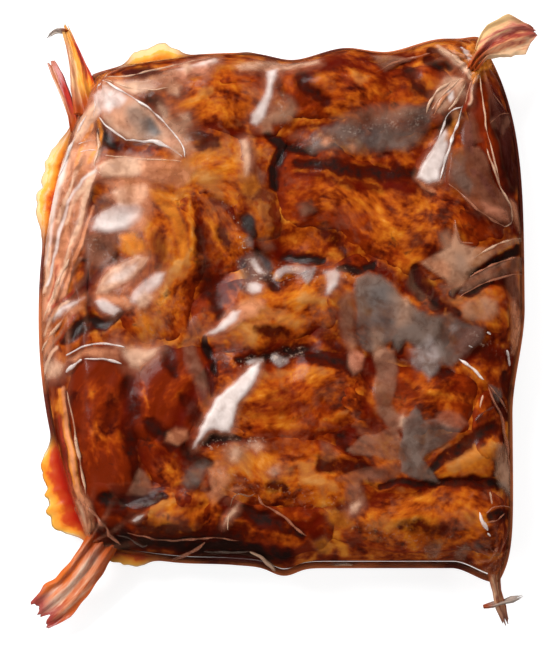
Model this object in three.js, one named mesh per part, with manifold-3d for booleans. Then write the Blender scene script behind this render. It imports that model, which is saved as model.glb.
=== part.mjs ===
// Barbecue pork ribs in their sauce, vacuum sealed in a clear shrink bag.
// The pack lies flat with its shown side up. Short cut ribs press up into the film as rounded
// lumps, the film spans the gaps between them, and it closes all round in a thin seam rim.
// At the corners the film is gathered into twisted tails. One sealed thing is one solid.
// Millimetres, +Z up, the origin under the middle of the whole at the resting face.
import * as THREE from 'three';
import Module from 'manifold-3d';
import { mergeVertices } from 'three/addons/utils/BufferGeometryUtils.js';

// The pack without its tails
const HALF_X = 101; // half the width across the seam
const HALF_Y = 108.8; // half the length across the seam
const CENTRE_X = 0.5; // the pack's middle, from the middle of the whole with its tails
const CENTRE_Y = 5;
const SEAM_Z = 14; // height of the seam round the sides
const UNDER_ROUND = 10; // how far in from the seam the underside lies flat
// how far in from each side of the seam the top reaches its full height
const SHOULDERS = { left: 24, right: 15, bottom: 20, top: 17 };

// The film over the ribs
const VALLEY_Z = 36.5; // the height at which the film bridges from rib to rib
const FILM_FALL = 4.5; // how far the film on a rib drops from its crest to its sides
const SPAN = 1.4; // how widely the film bridges the crease between two ribs
const SPREAD = 1.2; // how much wider and longer a rib is than its core
const FACET_SLOPE = 0.36; // slope of the two flanks of a sharp fold
const FACET_REACH = 3; // widest flank
const SHEET_SLOPE = 0.5; // slope of the sides of a flat-topped fold
const SHEET_REACH = 1.2;
const DIP_SLOPE = 0.45; // slope of the film's dips
const DIP_REACH = 5;

// The seam rim
const RIM_WIDTH = 1.2;
const RIM_HALF_THICK = 0.5;
const FLAP_DROOP = 0.5; // how far a flap's edge hangs, as a share of its width

// Mesh steps
const STEPS_U = 54;
const STEPS_V = 58;
const UNDER_INSETS = [2.5, 6, UNDER_ROUND];
const TAIL_STEPS = 10;
const TAIL_SIDES = 12;

const lerp = THREE.MathUtils.lerp;
const smoothstep = THREE.MathUtils.smoothstep;
const bump = (t, centre, halfWidth) => Math.exp(-(((t - centre) / halfWidth) ** 2));

// Each rib that shows: its middle, length, width, turn in degrees, bend to its left, crest height
const rib = (x, y, length, width, turn, bend, crest) => ({ x, y, length, width, turn, bend, crest });
const RIBS = [
  rib(-28, 87, 56, 33, 3, 2, 41), // top left
  rib(-17, 104, 44, 22, 5, 0, 38), // top edge
  rib(23, 96, 48, 36, -6, 0, 41), // top middle
  rib(54, 91, 40, 28, -12, 0, 40.5), // top right
  rib(90, 73, 56, 24, -78, 0, 36.5), // corner right
  rib(76, 52, 42, 28, -65, 0, 39.5), // under drape
  rib(-68, 56, 38, 26, -20, 0, 40), // shoulder left
  rib(-29, 58, 58, 35, -12, 2, 41.5), // under top left
  rib(-9, 55, 46, 22, 84, 0, 40.5), // upper centre
  rib(38, 41, 86, 40, -22, 3, 43), // long right
  rib(-58, 24, 70, 36, -80, 8, 42.5), // curved left
  rib(-27, 35, 42, 27, -62, 0, 39.5), // inner centre
  rib(-88, 13, 84, 22, 88, 0, 36.5), // edge left
  rib(0, -1, 70, 30, 14, 3, 42), // middle
  rib(44, 1, 56, 36, -30, 0, 41.5), // right of middle
  rib(80, 3, 36, 22, 5, 0, 39.5), // right small
  rib(-45, -33, 42, 33, 80, 0, 42), // inner left
  rib(-74, -47, 64, 35, 85, 0, 39.5), // lower left
  rib(-1, -39, 74, 38, 8, 4, 44), // below middle
  rib(52, -35, 58, 30, -12, 0, 42), // right below
  rib(90, -47, 34, 20, 80, 0, 37), // right low edge
  rib(46, -60, 44, 30, -35, 0, 41), // lower slant
  rib(74, -60, 42, 22, 20, 0, 40.5), // golden end
  rib(-43, -64, 38, 24, -60, 0, 38.5), // inner low
  rib(-2, -66, 76, 31, -12, 3, 42), // lower middle
  rib(61, -85, 78, 33, -4, 0, 40.5), // bottom right
  rib(-43, -82, 38, 26, -5, 0, 39.5), // bottom left
  rib(-68, -80, 38, 24, 0, 0, 36.5), // bottom corner
  rib(-6, -88, 58, 22, -8, 0, 37.5), // bottom middle
];

// A bent, tapered band on the film: from x, y to x, y, bend to its left, its half width at the
// start, the middle and the end, and how strongly it shapes the film
const band = (x0, y0, x1, y1, bend, start, middle, end, strength = 1) => ({
  x0, y0, x1, y1, bend, start, middle, end, strength,
});

// Sharp folds, which stand up like long low tents
const FACETS = [
  // tuck and creases at the top left
  band(-59, 90.5, -40, 65.5, 1.7, 0.8, 1.1, 1.5),
  band(-65, 72, -40.5, 66, 2.1, 0.8, 1.1, 1.3),
  band(-77, 94.5, -75.5, 84.5, 0, 1.7, 2.3, 1.7),
  band(-92.5, 56, -85, 70, 0.4, 1.3, 2.1, 1.3),
  // crease across the top edge, and the deep tuck below the top right tail
  band(-3.5, 103.5, -10, 77, 0.8, 1.3, 1.8, 2.1),
  band(67.5, 78.5, 58.5, 58, 0.8, 0.8, 1.3, 1.9),
  band(64.5, 67.5, 62, 57.5, 0, 2.1, 2.9, 3.1),
  // folds that run in from the left edge
  band(-79, 38, -56.5, 43, 0.8, 1.7, 3.4, 2.9),
  band(-77, 11.5, -55, 21, 0.8, 1.1, 2.3, 2.1),
  band(-60.5, 4, -49, 17, 0.4, 1.5, 1.9, 1.3),
  band(-98.5, -1.5, -81, 6, 0.4, 1.1, 2.1, 0.8),
  band(-76, 4.5, -67.5, 0, 0, 0.8, 2.3, 0.6),
  band(-88.5, -17, -64, -14.5, 2.9, 0.6, 1, 1.3),
  band(-63, -16.5, -50.5, -14.5, 0, 2.9, 2.7, 1.3),
  // folds off the ends of the ribs in the middle
  band(-31.5, -9, -17.5, 0.5, 0.8, 0.4, 2.7, 2.3),
  band(-2.5, -16.5, 8, -17, 0.4, 2.3, 2.5, 0.6),
  band(-34, -55.5, -8, -21.5, 1.7, 0.8, 3.4, 1.7),
  band(-28, -46.5, -21, -46, 0, 2.9, 3.6, 2.5),
];

// Flat-topped folds, where a sheet of film lies off the meat
const SHEETS = [
  // along the left shoulder
  band(-98.5, 47.5, -92, 26.5, -0.8, 2.1, 2.5, 2.1),
  band(-92, 68.5, -98.5, 32.5, 0.8, 2.1, 3.8, 2.5),
  band(-98, 26.5, -92, 5.5, -0.8, 1.7, 2.9, 1.7),
  band(-84, -36.5, -81.5, -75.5, -0.8, 1.5, 1.9, 1.5),
  // the sheet that hangs from the top right tail
  band(73.5, 66, 94.5, 42.5, 0.8, 5, 7.1, 3.8),
  band(80.5, 47.5, 92, 41.5, 0, 2.5, 3.4, 2.1),
  // the star of folds right of the middle
  band(60.5, 23, 84, 30.5, 0.4, 2.1, 3.8, 2.9),
  band(73.5, 27.5, 71, 7, 0.4, 4.2, 3.8, 0.6),
  band(52, 20.5, 52, 5.5, 0.4, 2.5, 2.9, 3.4),
  band(73.5, 0.5, 89.5, 2, -1.3, 3.4, 5, 2.5),
  band(39.5, 5.5, 38.5, -13.5, 0.4, 2.5, 3.4, 2.5),
  band(41, -15.5, 47, -49, 0.4, 3.4, 3.8, 3.4),
  // the lower right
  band(27, -56.5, 76, -46, 0.8, 2.9, 7.1, 2.1),
  band(49.5, -53.5, 63, -68.5, 0, 5.5, 5, 1.3),
  band(91.5, -51.5, 96.5, -74.5, -0.4, 2.1, 3.4, 1.7),
  // between the inner left ribs
  band(-34.5, -2, -31, -30.5, -1.3, 2.1, 3.8, 2.1),
];

// Dips, where nothing presses on the film from below
const DIPS = [
  band(-75, 78.5, -67.5, 69.5, 0, 1.7, 2.9, 1.7, 0.9),
  band(-55.5, 91, -48, 83.5, 0, 2.5, 3.8, 2.1),
  band(-5, 75, 15, 67, -0.4, 2.1, 2.9, 0.8),
  band(1.5, 68.5, -2.5, 52, 0, 2.9, 2.5, 1.7),
  band(-80, 30.5, -69, 21.5, 0, 3.4, 5.5, 2.9, 0.8),
  band(-87.5, -7.5, -67, -0.5, 0, 2.1, 3.4, 0.8, 0.9),
  band(-8.5, 24.5, -3.5, 12, 0, 2.1, 3.4, 2.1, 0.7),
  band(-16, -19, 11.5, -16.5, 0.8, 2.5, 4.2, 1.3),
  band(-39.5, -57.5, -29.5, -62.5, 0, 2.5, 3.8, 2.5, 0.8),
  band(72, 7, 87, 14, 0.4, 1.1, 2.5, 1.3, 0.8),
  band(55.5, 18, 57, 6.5, 0, 2.1, 3.4, 1.7, 0.9),
  band(62, -22.5, 71, -25, 0, 2.5, 3.4, 1.7, 0.7),
  band(60.5, -64.5, 88, -45.5, 0.8, 1.3, 3.4, 3.4, 0.8),
  band(-67.5, -97, 4, -100.5, 0, 2.5, 5.5, 3.4),
  band(-13.5, -82, 8, -89.5, 0, 2.5, 3.8, 2.1, 0.8),
  band(-62.5, -28, -59, -67.5, 0, 2.9, 4.6, 3.4, 0.6),
  band(-54, -45, -44, -55, 0, 2.5, 3.8, 2.1, 0.7),
  band(-72.5, -77, -48, -75, 0, 2.5, 3.4, 1.7, 0.9),
  band(88, 89.5, 95.5, 51.5, 0.8, 2.5, 5.5, 2.9, 0.7),
  band(-34, 35.5, -31.5, 9, 0.8, 2.5, 3.8, 2.5, 0.6),
  band(21, -11.5, 30, -25, 0, 2.9, 4.2, 2.5, 0.6),
  band(79.5, -13.5, 88, -18, 0, 3.4, 5.9, 3.4, 0.5),
];

// Each corner where the film is drawn together: the corner, how far its creases reach, how many
const gather = (x, y, reach, count, height) => ({ x, y, reach, count, height });
const GATHERS = [
  gather(-76, 101, 20, 13, 0.9),
  gather(83, 109, 26, 15, 1.2),
  gather(-80, -94, 22, 13, 1.1),
  gather(89, -100, 16, 11, 0.9),
];

// Each place where the seam rim widens into a flap: its middle, how far along, its width
const flap = (x, y, reach, width) => ({ x, y, reach, width });
const FLAPS = [
  flap(-97, 59, 20, 5.5),
  flap(-92, -64, 12, 7.0),
  flap(-87.5, -77, 12, 10.5),
  flap(-53, 110, 11, 6.5),
  flap(-14, 108, 5, 1.6),
  flap(-64, -101, 10, 3.4),
];

// The outline's four sides, as shares of HALF_X and HALF_Y along u and v from -1 to 1
const leftSide = (v) => -1 + 0.215 * Math.abs(v) ** 2.1;
const rightSide = (v) =>
  1 -
  0.18 * Math.max(v, 0) ** 4 -
  0.055 * smoothstep(-v, 0, 0.4) -
  0.06 * Math.max(-v, 0) ** 12;
const topSide = (u) =>
  1 -
  0.085 * Math.max(-u, 0) ** 3 -
  0.03 * bump(u, 0.03, 0.14) +
  0.018 * bump(u, 0.32, 0.12) +
  0.055 * smoothstep(u, 0.5, 0.84) +
  0.008 * smoothstep(u, 0.9, 1);
const bottomSide = (u) =>
  -1 +
  0.075 * Math.max(-u, 0) ** 1.5 +
  0.012 * smoothstep(u, -0.6, -0.3) -
  0.03 * bump(u, -0.05, 0.08) -
  0.055 * smoothstep(u, 0.78, 1);

function planPoint(u, v) {
  return [
    CENTRE_X + HALF_X * lerp(leftSide(v), rightSide(v), (u + 1) / 2),
    CENTRE_Y + HALF_Y * lerp(bottomSide(u), topSide(u), (v + 1) / 2),
  ];
}

// A quarter round: 0 at the seam, 1 from radius inwards
function quarterRound(inset, radius) {
  const t = Math.min(inset / radius, 1);
  return Math.sqrt(1 - (1 - t) ** 2);
}

// How full the pack is above the seam at u, v: 0 at the seam, 1 inside the shoulders
const fullness = (u, v) =>
  quarterRound((1 + u) * HALF_X, SHOULDERS.left) *
  quarterRound((1 - u) * HALF_X, SHOULDERS.right) *
  quarterRound((1 + v) * HALF_Y, SHOULDERS.bottom) *
  quarterRound((1 - v) * HALF_Y, SHOULDERS.top);

// The ribs' outlines wander from straight bars in slow waves
const sway = (x, y) => [
  2.0 * Math.sin(y / 8.3 + 0.7) + 1.1 * Math.sin(x / 5.1 + y / 9.7 + 2.1),
  2.0 * Math.sin(x / 7.7 + 1.9) + 1.1 * Math.sin(y / 5.9 - x / 8.9),
];

// Height of one rib's back, a rounded ridge that falls off to its sides and ends
function ribBack({ x, y, length, width, turn, bend, crest }, px, py) {
  const angle = THREE.MathUtils.degToRad(turn);
  const [swayX, swayY] = sway(px, py);
  const dx = px + swayX - x;
  const dy = py + swayY - y;
  const along = (dx * Math.cos(angle) + dy * Math.sin(angle)) / ((length / 2) * SPREAD);
  const bent = dy * Math.cos(angle) - dx * Math.sin(angle) - bend * (1 - along ** 2);
  const across = bent / ((width / 2) * SPREAD);
  return crest - FILM_FALL * (Math.abs(along) ** 3 + across ** 2);
}

// How far inside a band a place lies, in millimetres, negative outside it
function inBand({ x0, y0, x1, y1, bend, start, middle, end }, px, py) {
  const length = Math.hypot(x1 - x0, y1 - y0);
  const ux = (x1 - x0) / length;
  const uy = (y1 - y0) / length;
  const along = ((px - x0) * ux + (py - y0) * uy) / length;
  const beyond = Math.max(-along, along - 1, 0) * length;
  const t = THREE.MathUtils.clamp(along, 0, 1);
  const across = (py - y0) * ux - (px - x0) * uy - bend * 4 * t * (1 - t);
  const half = start * (1 - t) * (1 - 2 * t) + 4 * middle * t * (1 - t) + end * t * (2 * t - 1);
  return half - Math.hypot(across, beyond);
}

// The highest of several bands' slopes, each as wide as its band or its reach
const bandSlope = (bands, slope, reach, px, py) =>
  bands.reduce((highest, one) => {
    const inside = THREE.MathUtils.clamp(inBand(one, px, py), 0, reach);
    return Math.max(highest, slope * one.strength * inside);
  }, 0);

// The film rests on the highest ribs and bridges between them: a smooth maximum, less the dips
function filmHeight(px, py) {
  const sum = RIBS.reduce(
    (total, one) => total + Math.exp((ribBack(one, px, py) - VALLEY_Z) / SPAN),
    1,
  );
  return VALLEY_Z + SPAN * Math.log(sum) - bandSlope(DIPS, DIP_SLOPE, DIP_REACH, px, py);
}

// Creases that fan out from a gathered corner
function gatherRelief({ x, y, reach, count, height }, px, py) {
  const distance = Math.hypot(px - x, py - y);
  const direction = Math.atan2(py - y, px - x);
  const wave = 0.5 + 0.5 * Math.cos(count * direction + 0.8 * Math.sin(distance / 6));
  return height * Math.exp(-((distance / reach) ** 2)) * wave ** 2;
}

// Long pleats down the left shoulder, where the film is slack
function pleatRelief(px, py) {
  const fromEdge = px - (CENTRE_X - HALF_X);
  const share = bump(fromEdge, 12, 10) * bump(py, 22, 62);
  const wave = Math.sin(fromEdge / 1.3 + 0.07 * py + 1.6 * Math.sin(py / 13));
  return 1.3 * share * (0.5 + 0.5 * wave) ** 2;
}

function relief(px, py) {
  const folds = Math.max(
    bandSlope(FACETS, FACET_SLOPE, FACET_REACH, px, py),
    bandSlope(SHEETS, SHEET_SLOPE, SHEET_REACH, px, py),
  );
  const gathers = GATHERS.reduce((total, one) => total + gatherRelief(one, px, py), 0);
  return folds + gathers + pleatRelief(px, py);
}

// The top of the pack before its creases
function topPoint(u, v) {
  const [x, y] = planPoint(u, v);
  const z = SEAM_Z + RIM_HALF_THICK + fullness(u, v) * (filmHeight(x, y) - SEAM_Z);
  return new THREE.Vector3(x, y, z);
}

// The same with its creases, which stand up square to the film
function creasedTopPoint(u, v) {
  const point = topPoint(u, v);
  const raised = relief(point.x, point.y) * Math.min(1, fullness(u, v) * 1.4);
  const step = 0.01;
  const alongU = topPoint(Math.min(u + step, 1), v).sub(topPoint(Math.max(u - step, -1), v));
  const alongV = topPoint(u, Math.min(v + step, 1)).sub(topPoint(u, Math.max(v - step, -1)));
  return point.addScaledVector(alongU.cross(alongV).normalize(), raised);
}

// Grid lines lie closer together near the seam
const gridLine = (i, steps) => {
  const t = (2 * i) / steps - 1;
  return lerp(t, Math.sin((t * Math.PI) / 2), 0.5);
};

// The seam, once round, anticlockwise seen from above
function seamWalk() {
  const walk = [];
  for (let i = 0; i < STEPS_U; i++) walk.push([i, 0]);
  for (let j = 0; j < STEPS_V; j++) walk.push([STEPS_U, j]);
  for (let i = STEPS_U; i > 0; i--) walk.push([i, STEPS_V]);
  for (let j = STEPS_V; j > 0; j--) walk.push([0, j]);
  return walk;
}

const rimWidth = (px, py) =>
  FLAPS.reduce(
    (widest, one) =>
      Math.max(
        widest,
        RIM_WIDTH + one.width * Math.exp(-((Math.hypot(px - one.x, py - one.y) / one.reach) ** 4)),
      ),
    RIM_WIDTH,
  );

// The whole pack without its tails, as one closed surface: top, rim and underside
function packGeometry() {
  const points = [];
  const faces = [];
  const add = (x, y, z) => points.push([x, y, z]) - 1;
  const quad = (a, b, c, d) => faces.push(a, b, c, a, c, d);

  const top = [];
  for (let j = 0; j <= STEPS_V; j++)
    for (let i = 0; i <= STEPS_U; i++)
      top.push(add(...creasedTopPoint(gridLine(i, STEPS_U), gridLine(j, STEPS_V)).toArray()));
  const topAt = (i, j) => top[j * (STEPS_U + 1) + i];
  for (let j = 0; j < STEPS_V; j++)
    for (let i = 0; i < STEPS_U; i++)
      quad(topAt(i, j), topAt(i + 1, j), topAt(i + 1, j + 1), topAt(i, j + 1));

  const walk = seamWalk();
  const seam = walk.map(([i, j]) => planPoint(gridLine(i, STEPS_U), gridLine(j, STEPS_V)));
  const rimTop = walk.map(([i, j]) => topAt(i, j));
  const rimOuter = seam.map(([x, y], k) => {
    const before = seam[(k + seam.length - 1) % seam.length];
    const after = seam[(k + 1) % seam.length];
    const run = Math.hypot(after[0] - before[0], after[1] - before[1]);
    const width = rimWidth(x, y);
    const droop = FLAP_DROOP * width + 0.3 * Math.sin(k * 0.7);
    return add(
      x + (width * (after[1] - before[1])) / run,
      y - (width * (after[0] - before[0])) / run,
      SEAM_Z - droop,
    );
  });
  const rimUnder = seam.map(([x, y]) => add(x, y, SEAM_Z - RIM_HALF_THICK));
  const rings = [rimTop, rimOuter, rimUnder];
  for (const inset of UNDER_INSETS)
    rings.push(
      walk.map(([i, j]) => {
        const u = gridLine(i, STEPS_U) * (1 - inset / HALF_X);
        const v = gridLine(j, STEPS_V) * (1 - inset / HALF_Y);
        const z = (SEAM_Z - RIM_HALF_THICK) * (1 - quarterRound(inset, UNDER_ROUND));
        return add(...planPoint(u, v), z);
      }),
    );
  for (let r = 0; r + 1 < rings.length; r++)
    for (let k = 0; k < walk.length; k++) {
      const next = (k + 1) % walk.length;
      quad(rings[r][next], rings[r][k], rings[r + 1][k], rings[r + 1][next]);
    }
  const middle = add(CENTRE_X, CENTRE_Y, 0);
  const flat = rings[rings.length - 1];
  for (let k = 0; k < walk.length; k++) faces.push(flat[(k + 1) % walk.length], flat[k], middle);
  return closedGeometry(points, faces);
}

function closedGeometry(points, faces) {
  const geometry = new THREE.BufferGeometry();
  geometry.setAttribute('position', new THREE.Float32BufferAttribute(points.flat(), 3));
  geometry.setIndex(faces);
  return mergeVertices(geometry, 1e-4);
}

// One twisted tail of gathered film: root, a point it bends by, tip, its half widths at the
// stations, how many pleats it has and how far they are turned
const tail = (root, bend, tip, halves, pleats, phase) => ({ root, bend, tip, halves, pleats, phase });
const TAIL_STATIONS = [0, 0.25, 0.55, 0.8, 1];
const TAILS = [
  tail([-80.5, 86, 27.5], [-84.5, 107, 18], [-91.8, 126.2, 12], [6.4, 5.6, 3.5, 2.3, 1.7], 2, 0.5),
  tail([-86, 80, 20], [-89.8, 95.5, 12], [-97.6, 111.6, 9], [2.6, 2.0, 2.2, 2.4, 1.8], 1, 2.0),
  tail([80, 102.5, 38.5], [86, 119, 27], [108.6, 124.5, 11], [2.4, 3.2, 8.6, 9.3, 1.8], 3, 1.2),
  tail([-72, -89, 21], [-82.5, -110, 12], [-98.8, -121.8, 8], [7.2, 6.8, 7.4, 8.6, 6.6], 3, 0),
  tail([88, -98, 20], [88.4, -111, 12], [94, -125.6, 7], [5.0, 2.8, 1.9, 2.3, 1.4], 1, 0.7),
  // two loose wisps, across the bottom right tail and at the tip of the top left one
  tail([84.5, -119.5, 9], [92, -118, 9.5], [99.5, -115.5, 10], [0.8, 1.4, 1.0, 1.5, 0.8], 1, 0.2),
  tail([-90.6, 124.2, 12], [-95, 126, 12], [-98.5, 122.5, 11], [0.9, 1.3, 1.1, 0.9, 0.6], 1, 0.9),
];
const ROOT_THICK = 1.6; // half the thickness of the gathered film
const TIP_THICK = 0.6;
const PLEAT_HEIGHT = 1.2; // of the tails' pleats where they are gathered most
const TAIL_TWIST = 1.5; // how far the pleats turn from root to tip

function tailHalfWidth({ halves }, t) {
  const next = TAIL_STATIONS.findIndex((station, k) => k > 0 && t <= station);
  const [from, to] = [TAIL_STATIONS[next - 1], TAIL_STATIONS[next]];
  return lerp(halves[next - 1], halves[next], (t - from) / (to - from));
}

// A flattened tube along the tail's bend, its two faces waved alike into pleats
function tailGeometry(shape) {
  const line = new THREE.QuadraticBezierCurve3(
    ...[shape.root, shape.bend, shape.tip].map((p) => new THREE.Vector3(...p)),
  );
  const up = new THREE.Vector3(0, 0, 1);
  const points = [];
  const faces = [];
  const rings = [];
  for (let s = 0; s <= TAIL_STEPS; s++) {
    const t = s / TAIL_STEPS;
    const centre = line.getPoint(t);
    const forward = line.getTangent(t);
    const side = new THREE.Vector3().crossVectors(up, forward).normalize();
    const lift = new THREE.Vector3().crossVectors(forward, side);
    const half = tailHalfWidth(shape, t);
    const gathered = THREE.MathUtils.clamp(1.3 - t, 0.3, 1);
    const thick = lerp(TIP_THICK, ROOT_THICK, gathered ** 2);
    const ring = [];
    for (let k = 0; k < TAIL_SIDES; k++) {
      const angle = (2 * Math.PI * k) / TAIL_SIDES;
      const turn = Math.PI * shape.pleats * Math.cos(angle) + TAIL_TWIST * t + shape.phase;
      const wave = PLEAT_HEIGHT * gathered * Math.cos(turn);
      const point = centre
        .clone()
        .addScaledVector(side, half * Math.cos(angle))
        .addScaledVector(lift, thick * Math.sin(angle) + wave);
      ring.push(points.push(point.toArray()) - 1);
    }
    rings.push(ring);
  }
  for (let s = 0; s < TAIL_STEPS; s++)
    for (let k = 0; k < TAIL_SIDES; k++) {
      const next = (k + 1) % TAIL_SIDES;
      const [a, b] = [rings[s], rings[s + 1]];
      faces.push(a[k], b[next], b[k], a[k], a[next], b[next]);
    }
  // The ends are closed by strips across them, from the upper face to the lower one
  const [rootRing, tipRing] = [rings[0], rings[TAIL_STEPS]];
  for (let k = 0; k < TAIL_SIDES / 2; k++) {
    const [a, b, c, d] = [k, k + 1, TAIL_SIDES - k - 1, (TAIL_SIDES - k) % TAIL_SIDES];
    if (b !== c) {
      faces.push(tipRing[a], tipRing[b], tipRing[c]);
      faces.push(rootRing[a], rootRing[c], rootRing[b]);
    }
    if (a !== d) {
      faces.push(tipRing[a], tipRing[c], tipRing[d]);
      faces.push(rootRing[a], rootRing[d], rootRing[c]);
    }
  }
  return closedGeometry(points, faces);
}

const wasm = await Module();
wasm.setup();

function toSolid(geometry) {
  const solid = new wasm.Manifold(
    new wasm.Mesh({
      numProp: 3,
      vertProperties: geometry.attributes.position.array,
      triVerts: new Uint32Array(geometry.index.array),
    }),
  );
  if (solid.volume() < 0) throw new Error('a surface faces inwards');
  return solid;
}

function toGeometry(solid) {
  const mesh = solid.getMesh();
  const geometry = new THREE.BufferGeometry();
  geometry.setAttribute('position', new THREE.BufferAttribute(mesh.vertProperties, 3));
  geometry.setIndex(new THREE.BufferAttribute(mesh.triVerts, 1));
  return geometry;
}

function sealedPack() {
  const joined = TAILS.reduce(
    (solid, one) => solid.add(toSolid(tailGeometry(one))),
    toSolid(packGeometry()),
  );
  const geometry = toGeometry(joined);
  const material = new THREE.MeshStandardMaterial({
    color: 0x7a2c0c,
    roughness: 0.2,
    metalness: 0,
  });
  const mesh = new THREE.Mesh(geometry, material);
  mesh.name = 'sealed_rib_pack';
  return mesh;
}

// The whole is set with its middle over the origin
const pack = sealedPack();
pack.geometry.computeBoundingBox();
const middle = pack.geometry.boundingBox.getCenter(new THREE.Vector3());
pack.position.set(-middle.x, -middle.y, 0);

const group = new THREE.Group();
group.add(pack);
export default group;
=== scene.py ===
"""Barbecue pork ribs in dark sauce, vacuum sealed in a clear shrink bag that lies flat."""
import math

import bpy
import numpy as np
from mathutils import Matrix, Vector


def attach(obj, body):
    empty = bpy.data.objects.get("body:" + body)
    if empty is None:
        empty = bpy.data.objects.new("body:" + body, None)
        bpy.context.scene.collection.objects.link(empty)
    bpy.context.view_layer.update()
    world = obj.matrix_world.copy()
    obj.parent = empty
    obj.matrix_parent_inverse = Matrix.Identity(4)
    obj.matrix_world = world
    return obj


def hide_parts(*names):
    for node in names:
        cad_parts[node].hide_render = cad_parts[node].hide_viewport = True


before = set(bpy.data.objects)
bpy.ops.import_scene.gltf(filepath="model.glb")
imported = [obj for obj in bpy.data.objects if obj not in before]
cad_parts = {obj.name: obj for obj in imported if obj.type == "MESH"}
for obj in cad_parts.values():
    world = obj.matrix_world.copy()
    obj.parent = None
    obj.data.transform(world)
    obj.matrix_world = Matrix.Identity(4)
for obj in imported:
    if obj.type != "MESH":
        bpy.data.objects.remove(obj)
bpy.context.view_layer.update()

# The ribs that show.
# Short cut pork ribs, browned and sauced, lie at random in the bag. The vacuum presses the
# upper layer into the film, so each one is a rounded bar that is squeezed lower near the seam.
MM = 0.001
MOVE_X, MOVE_Y = -3.23, -1.73
HALF_X, HALF_Y = 101.0, 108.8
CENTRE_X, CENTRE_Y = 0.5, 5.0
SEAM_Z = 14.0
SHOULDERS = {"left": 24.0, "right": 15.0, "bottom": 20.0, "top": 17.0}
UNDER_ROUND = 10.0
VALLEY_Z = 36.5
FILM_FALL = 4.5
SPAN = 1.4
GAP = 0.5
SPREAD = 1.2
BAG_EDGE = 0.975
SIDE_DROP, BELLY = 17.0, 9.0
FIBRE_SCALE = 0.8
KIND_STEP = 40.0

RIBS = {  # middle x, y, length, width, turn in degrees, bend to its left, crest height, tone
    "top_left": (-28, 87, 56, 33, 3, 2, 41, -0.2),
    "top_edge": (-17, 104, 44, 22, 5, 0, 38, -0.1),
    "top_middle": (23, 96, 48, 36, -6, 0, 41, -0.6),
    "top_right": (54, 91, 40, 28, -12, 0, 40.5, -0.6),
    "corner_right": (90, 73, 56, 24, -78, 0, 36.5, -2.1),
    "under_drape": (76, 52, 42, 28, -65, 0, 39.5, -0.8),
    "shoulder_left": (-68, 56, 38, 26, -20, 0, 40, 0.5),
    "under_top_left": (-29, 58, 58, 35, -12, 2, 41.5, 0.7),
    "upper_centre": (-9, 55, 46, 22, 84, 0, 40.5, 0.5),
    "long_right": (38, 41, 86, 40, -22, 3, 43, -0.5),
    "curved_left": (-58, 24, 70, 36, -80, 8, 42.5, 0.3),
    "inner_centre": (-27, 35, 42, 27, -62, 0, 39.5, -0.3),
    "edge_left": (-88, 13, 84, 22, 88, 0, 36.5, 0.1),
    "middle": (0, -1, 70, 30, 14, 3, 42, 0.3),
    "right_of_middle": (44, 1, 56, 36, -30, 0, 41.5, -0.2),
    "right_small": (80, 3, 36, 22, 5, 0, 39.5, 0.2),
    "inner_left": (-45, -33, 42, 33, 80, 0, 42, -2.1),
    "lower_left": (-74, -47, 64, 35, 85, 0, 39.5, -1.8),
    "below_middle": (-1, -39, 74, 38, 8, 4, 44, -0.3),
    "right_below": (52, -35, 58, 30, -12, 0, 42, -0.8),
    "right_low_edge": (90, -47, 34, 20, 80, 0, 37, -0.7),
    "lower_slant": (46, -60, 44, 30, -35, 0, 41, -0.4),
    "golden_end": (74, -60, 42, 22, 20, 0, 40.5, 0.4),
    "inner_low": (-43, -64, 38, 24, -60, 0, 38.5, -1.0),
    "lower_middle": (-2, -66, 76, 31, -12, 3, 42, 0.2),
    "bottom_right": (61, -85, 78, 33, -4, 0, 40.5, -0.1),
    "bottom_left": (-43, -82, 38, 26, -5, 0, 39.5, 0.0),
    "bottom_corner": (-68, -80, 38, 24, 0, 0, 36.5, -1.8),
    "bottom_middle": (-6, -88, 58, 22, -8, 0, 37.5, -0.9),
}

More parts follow.
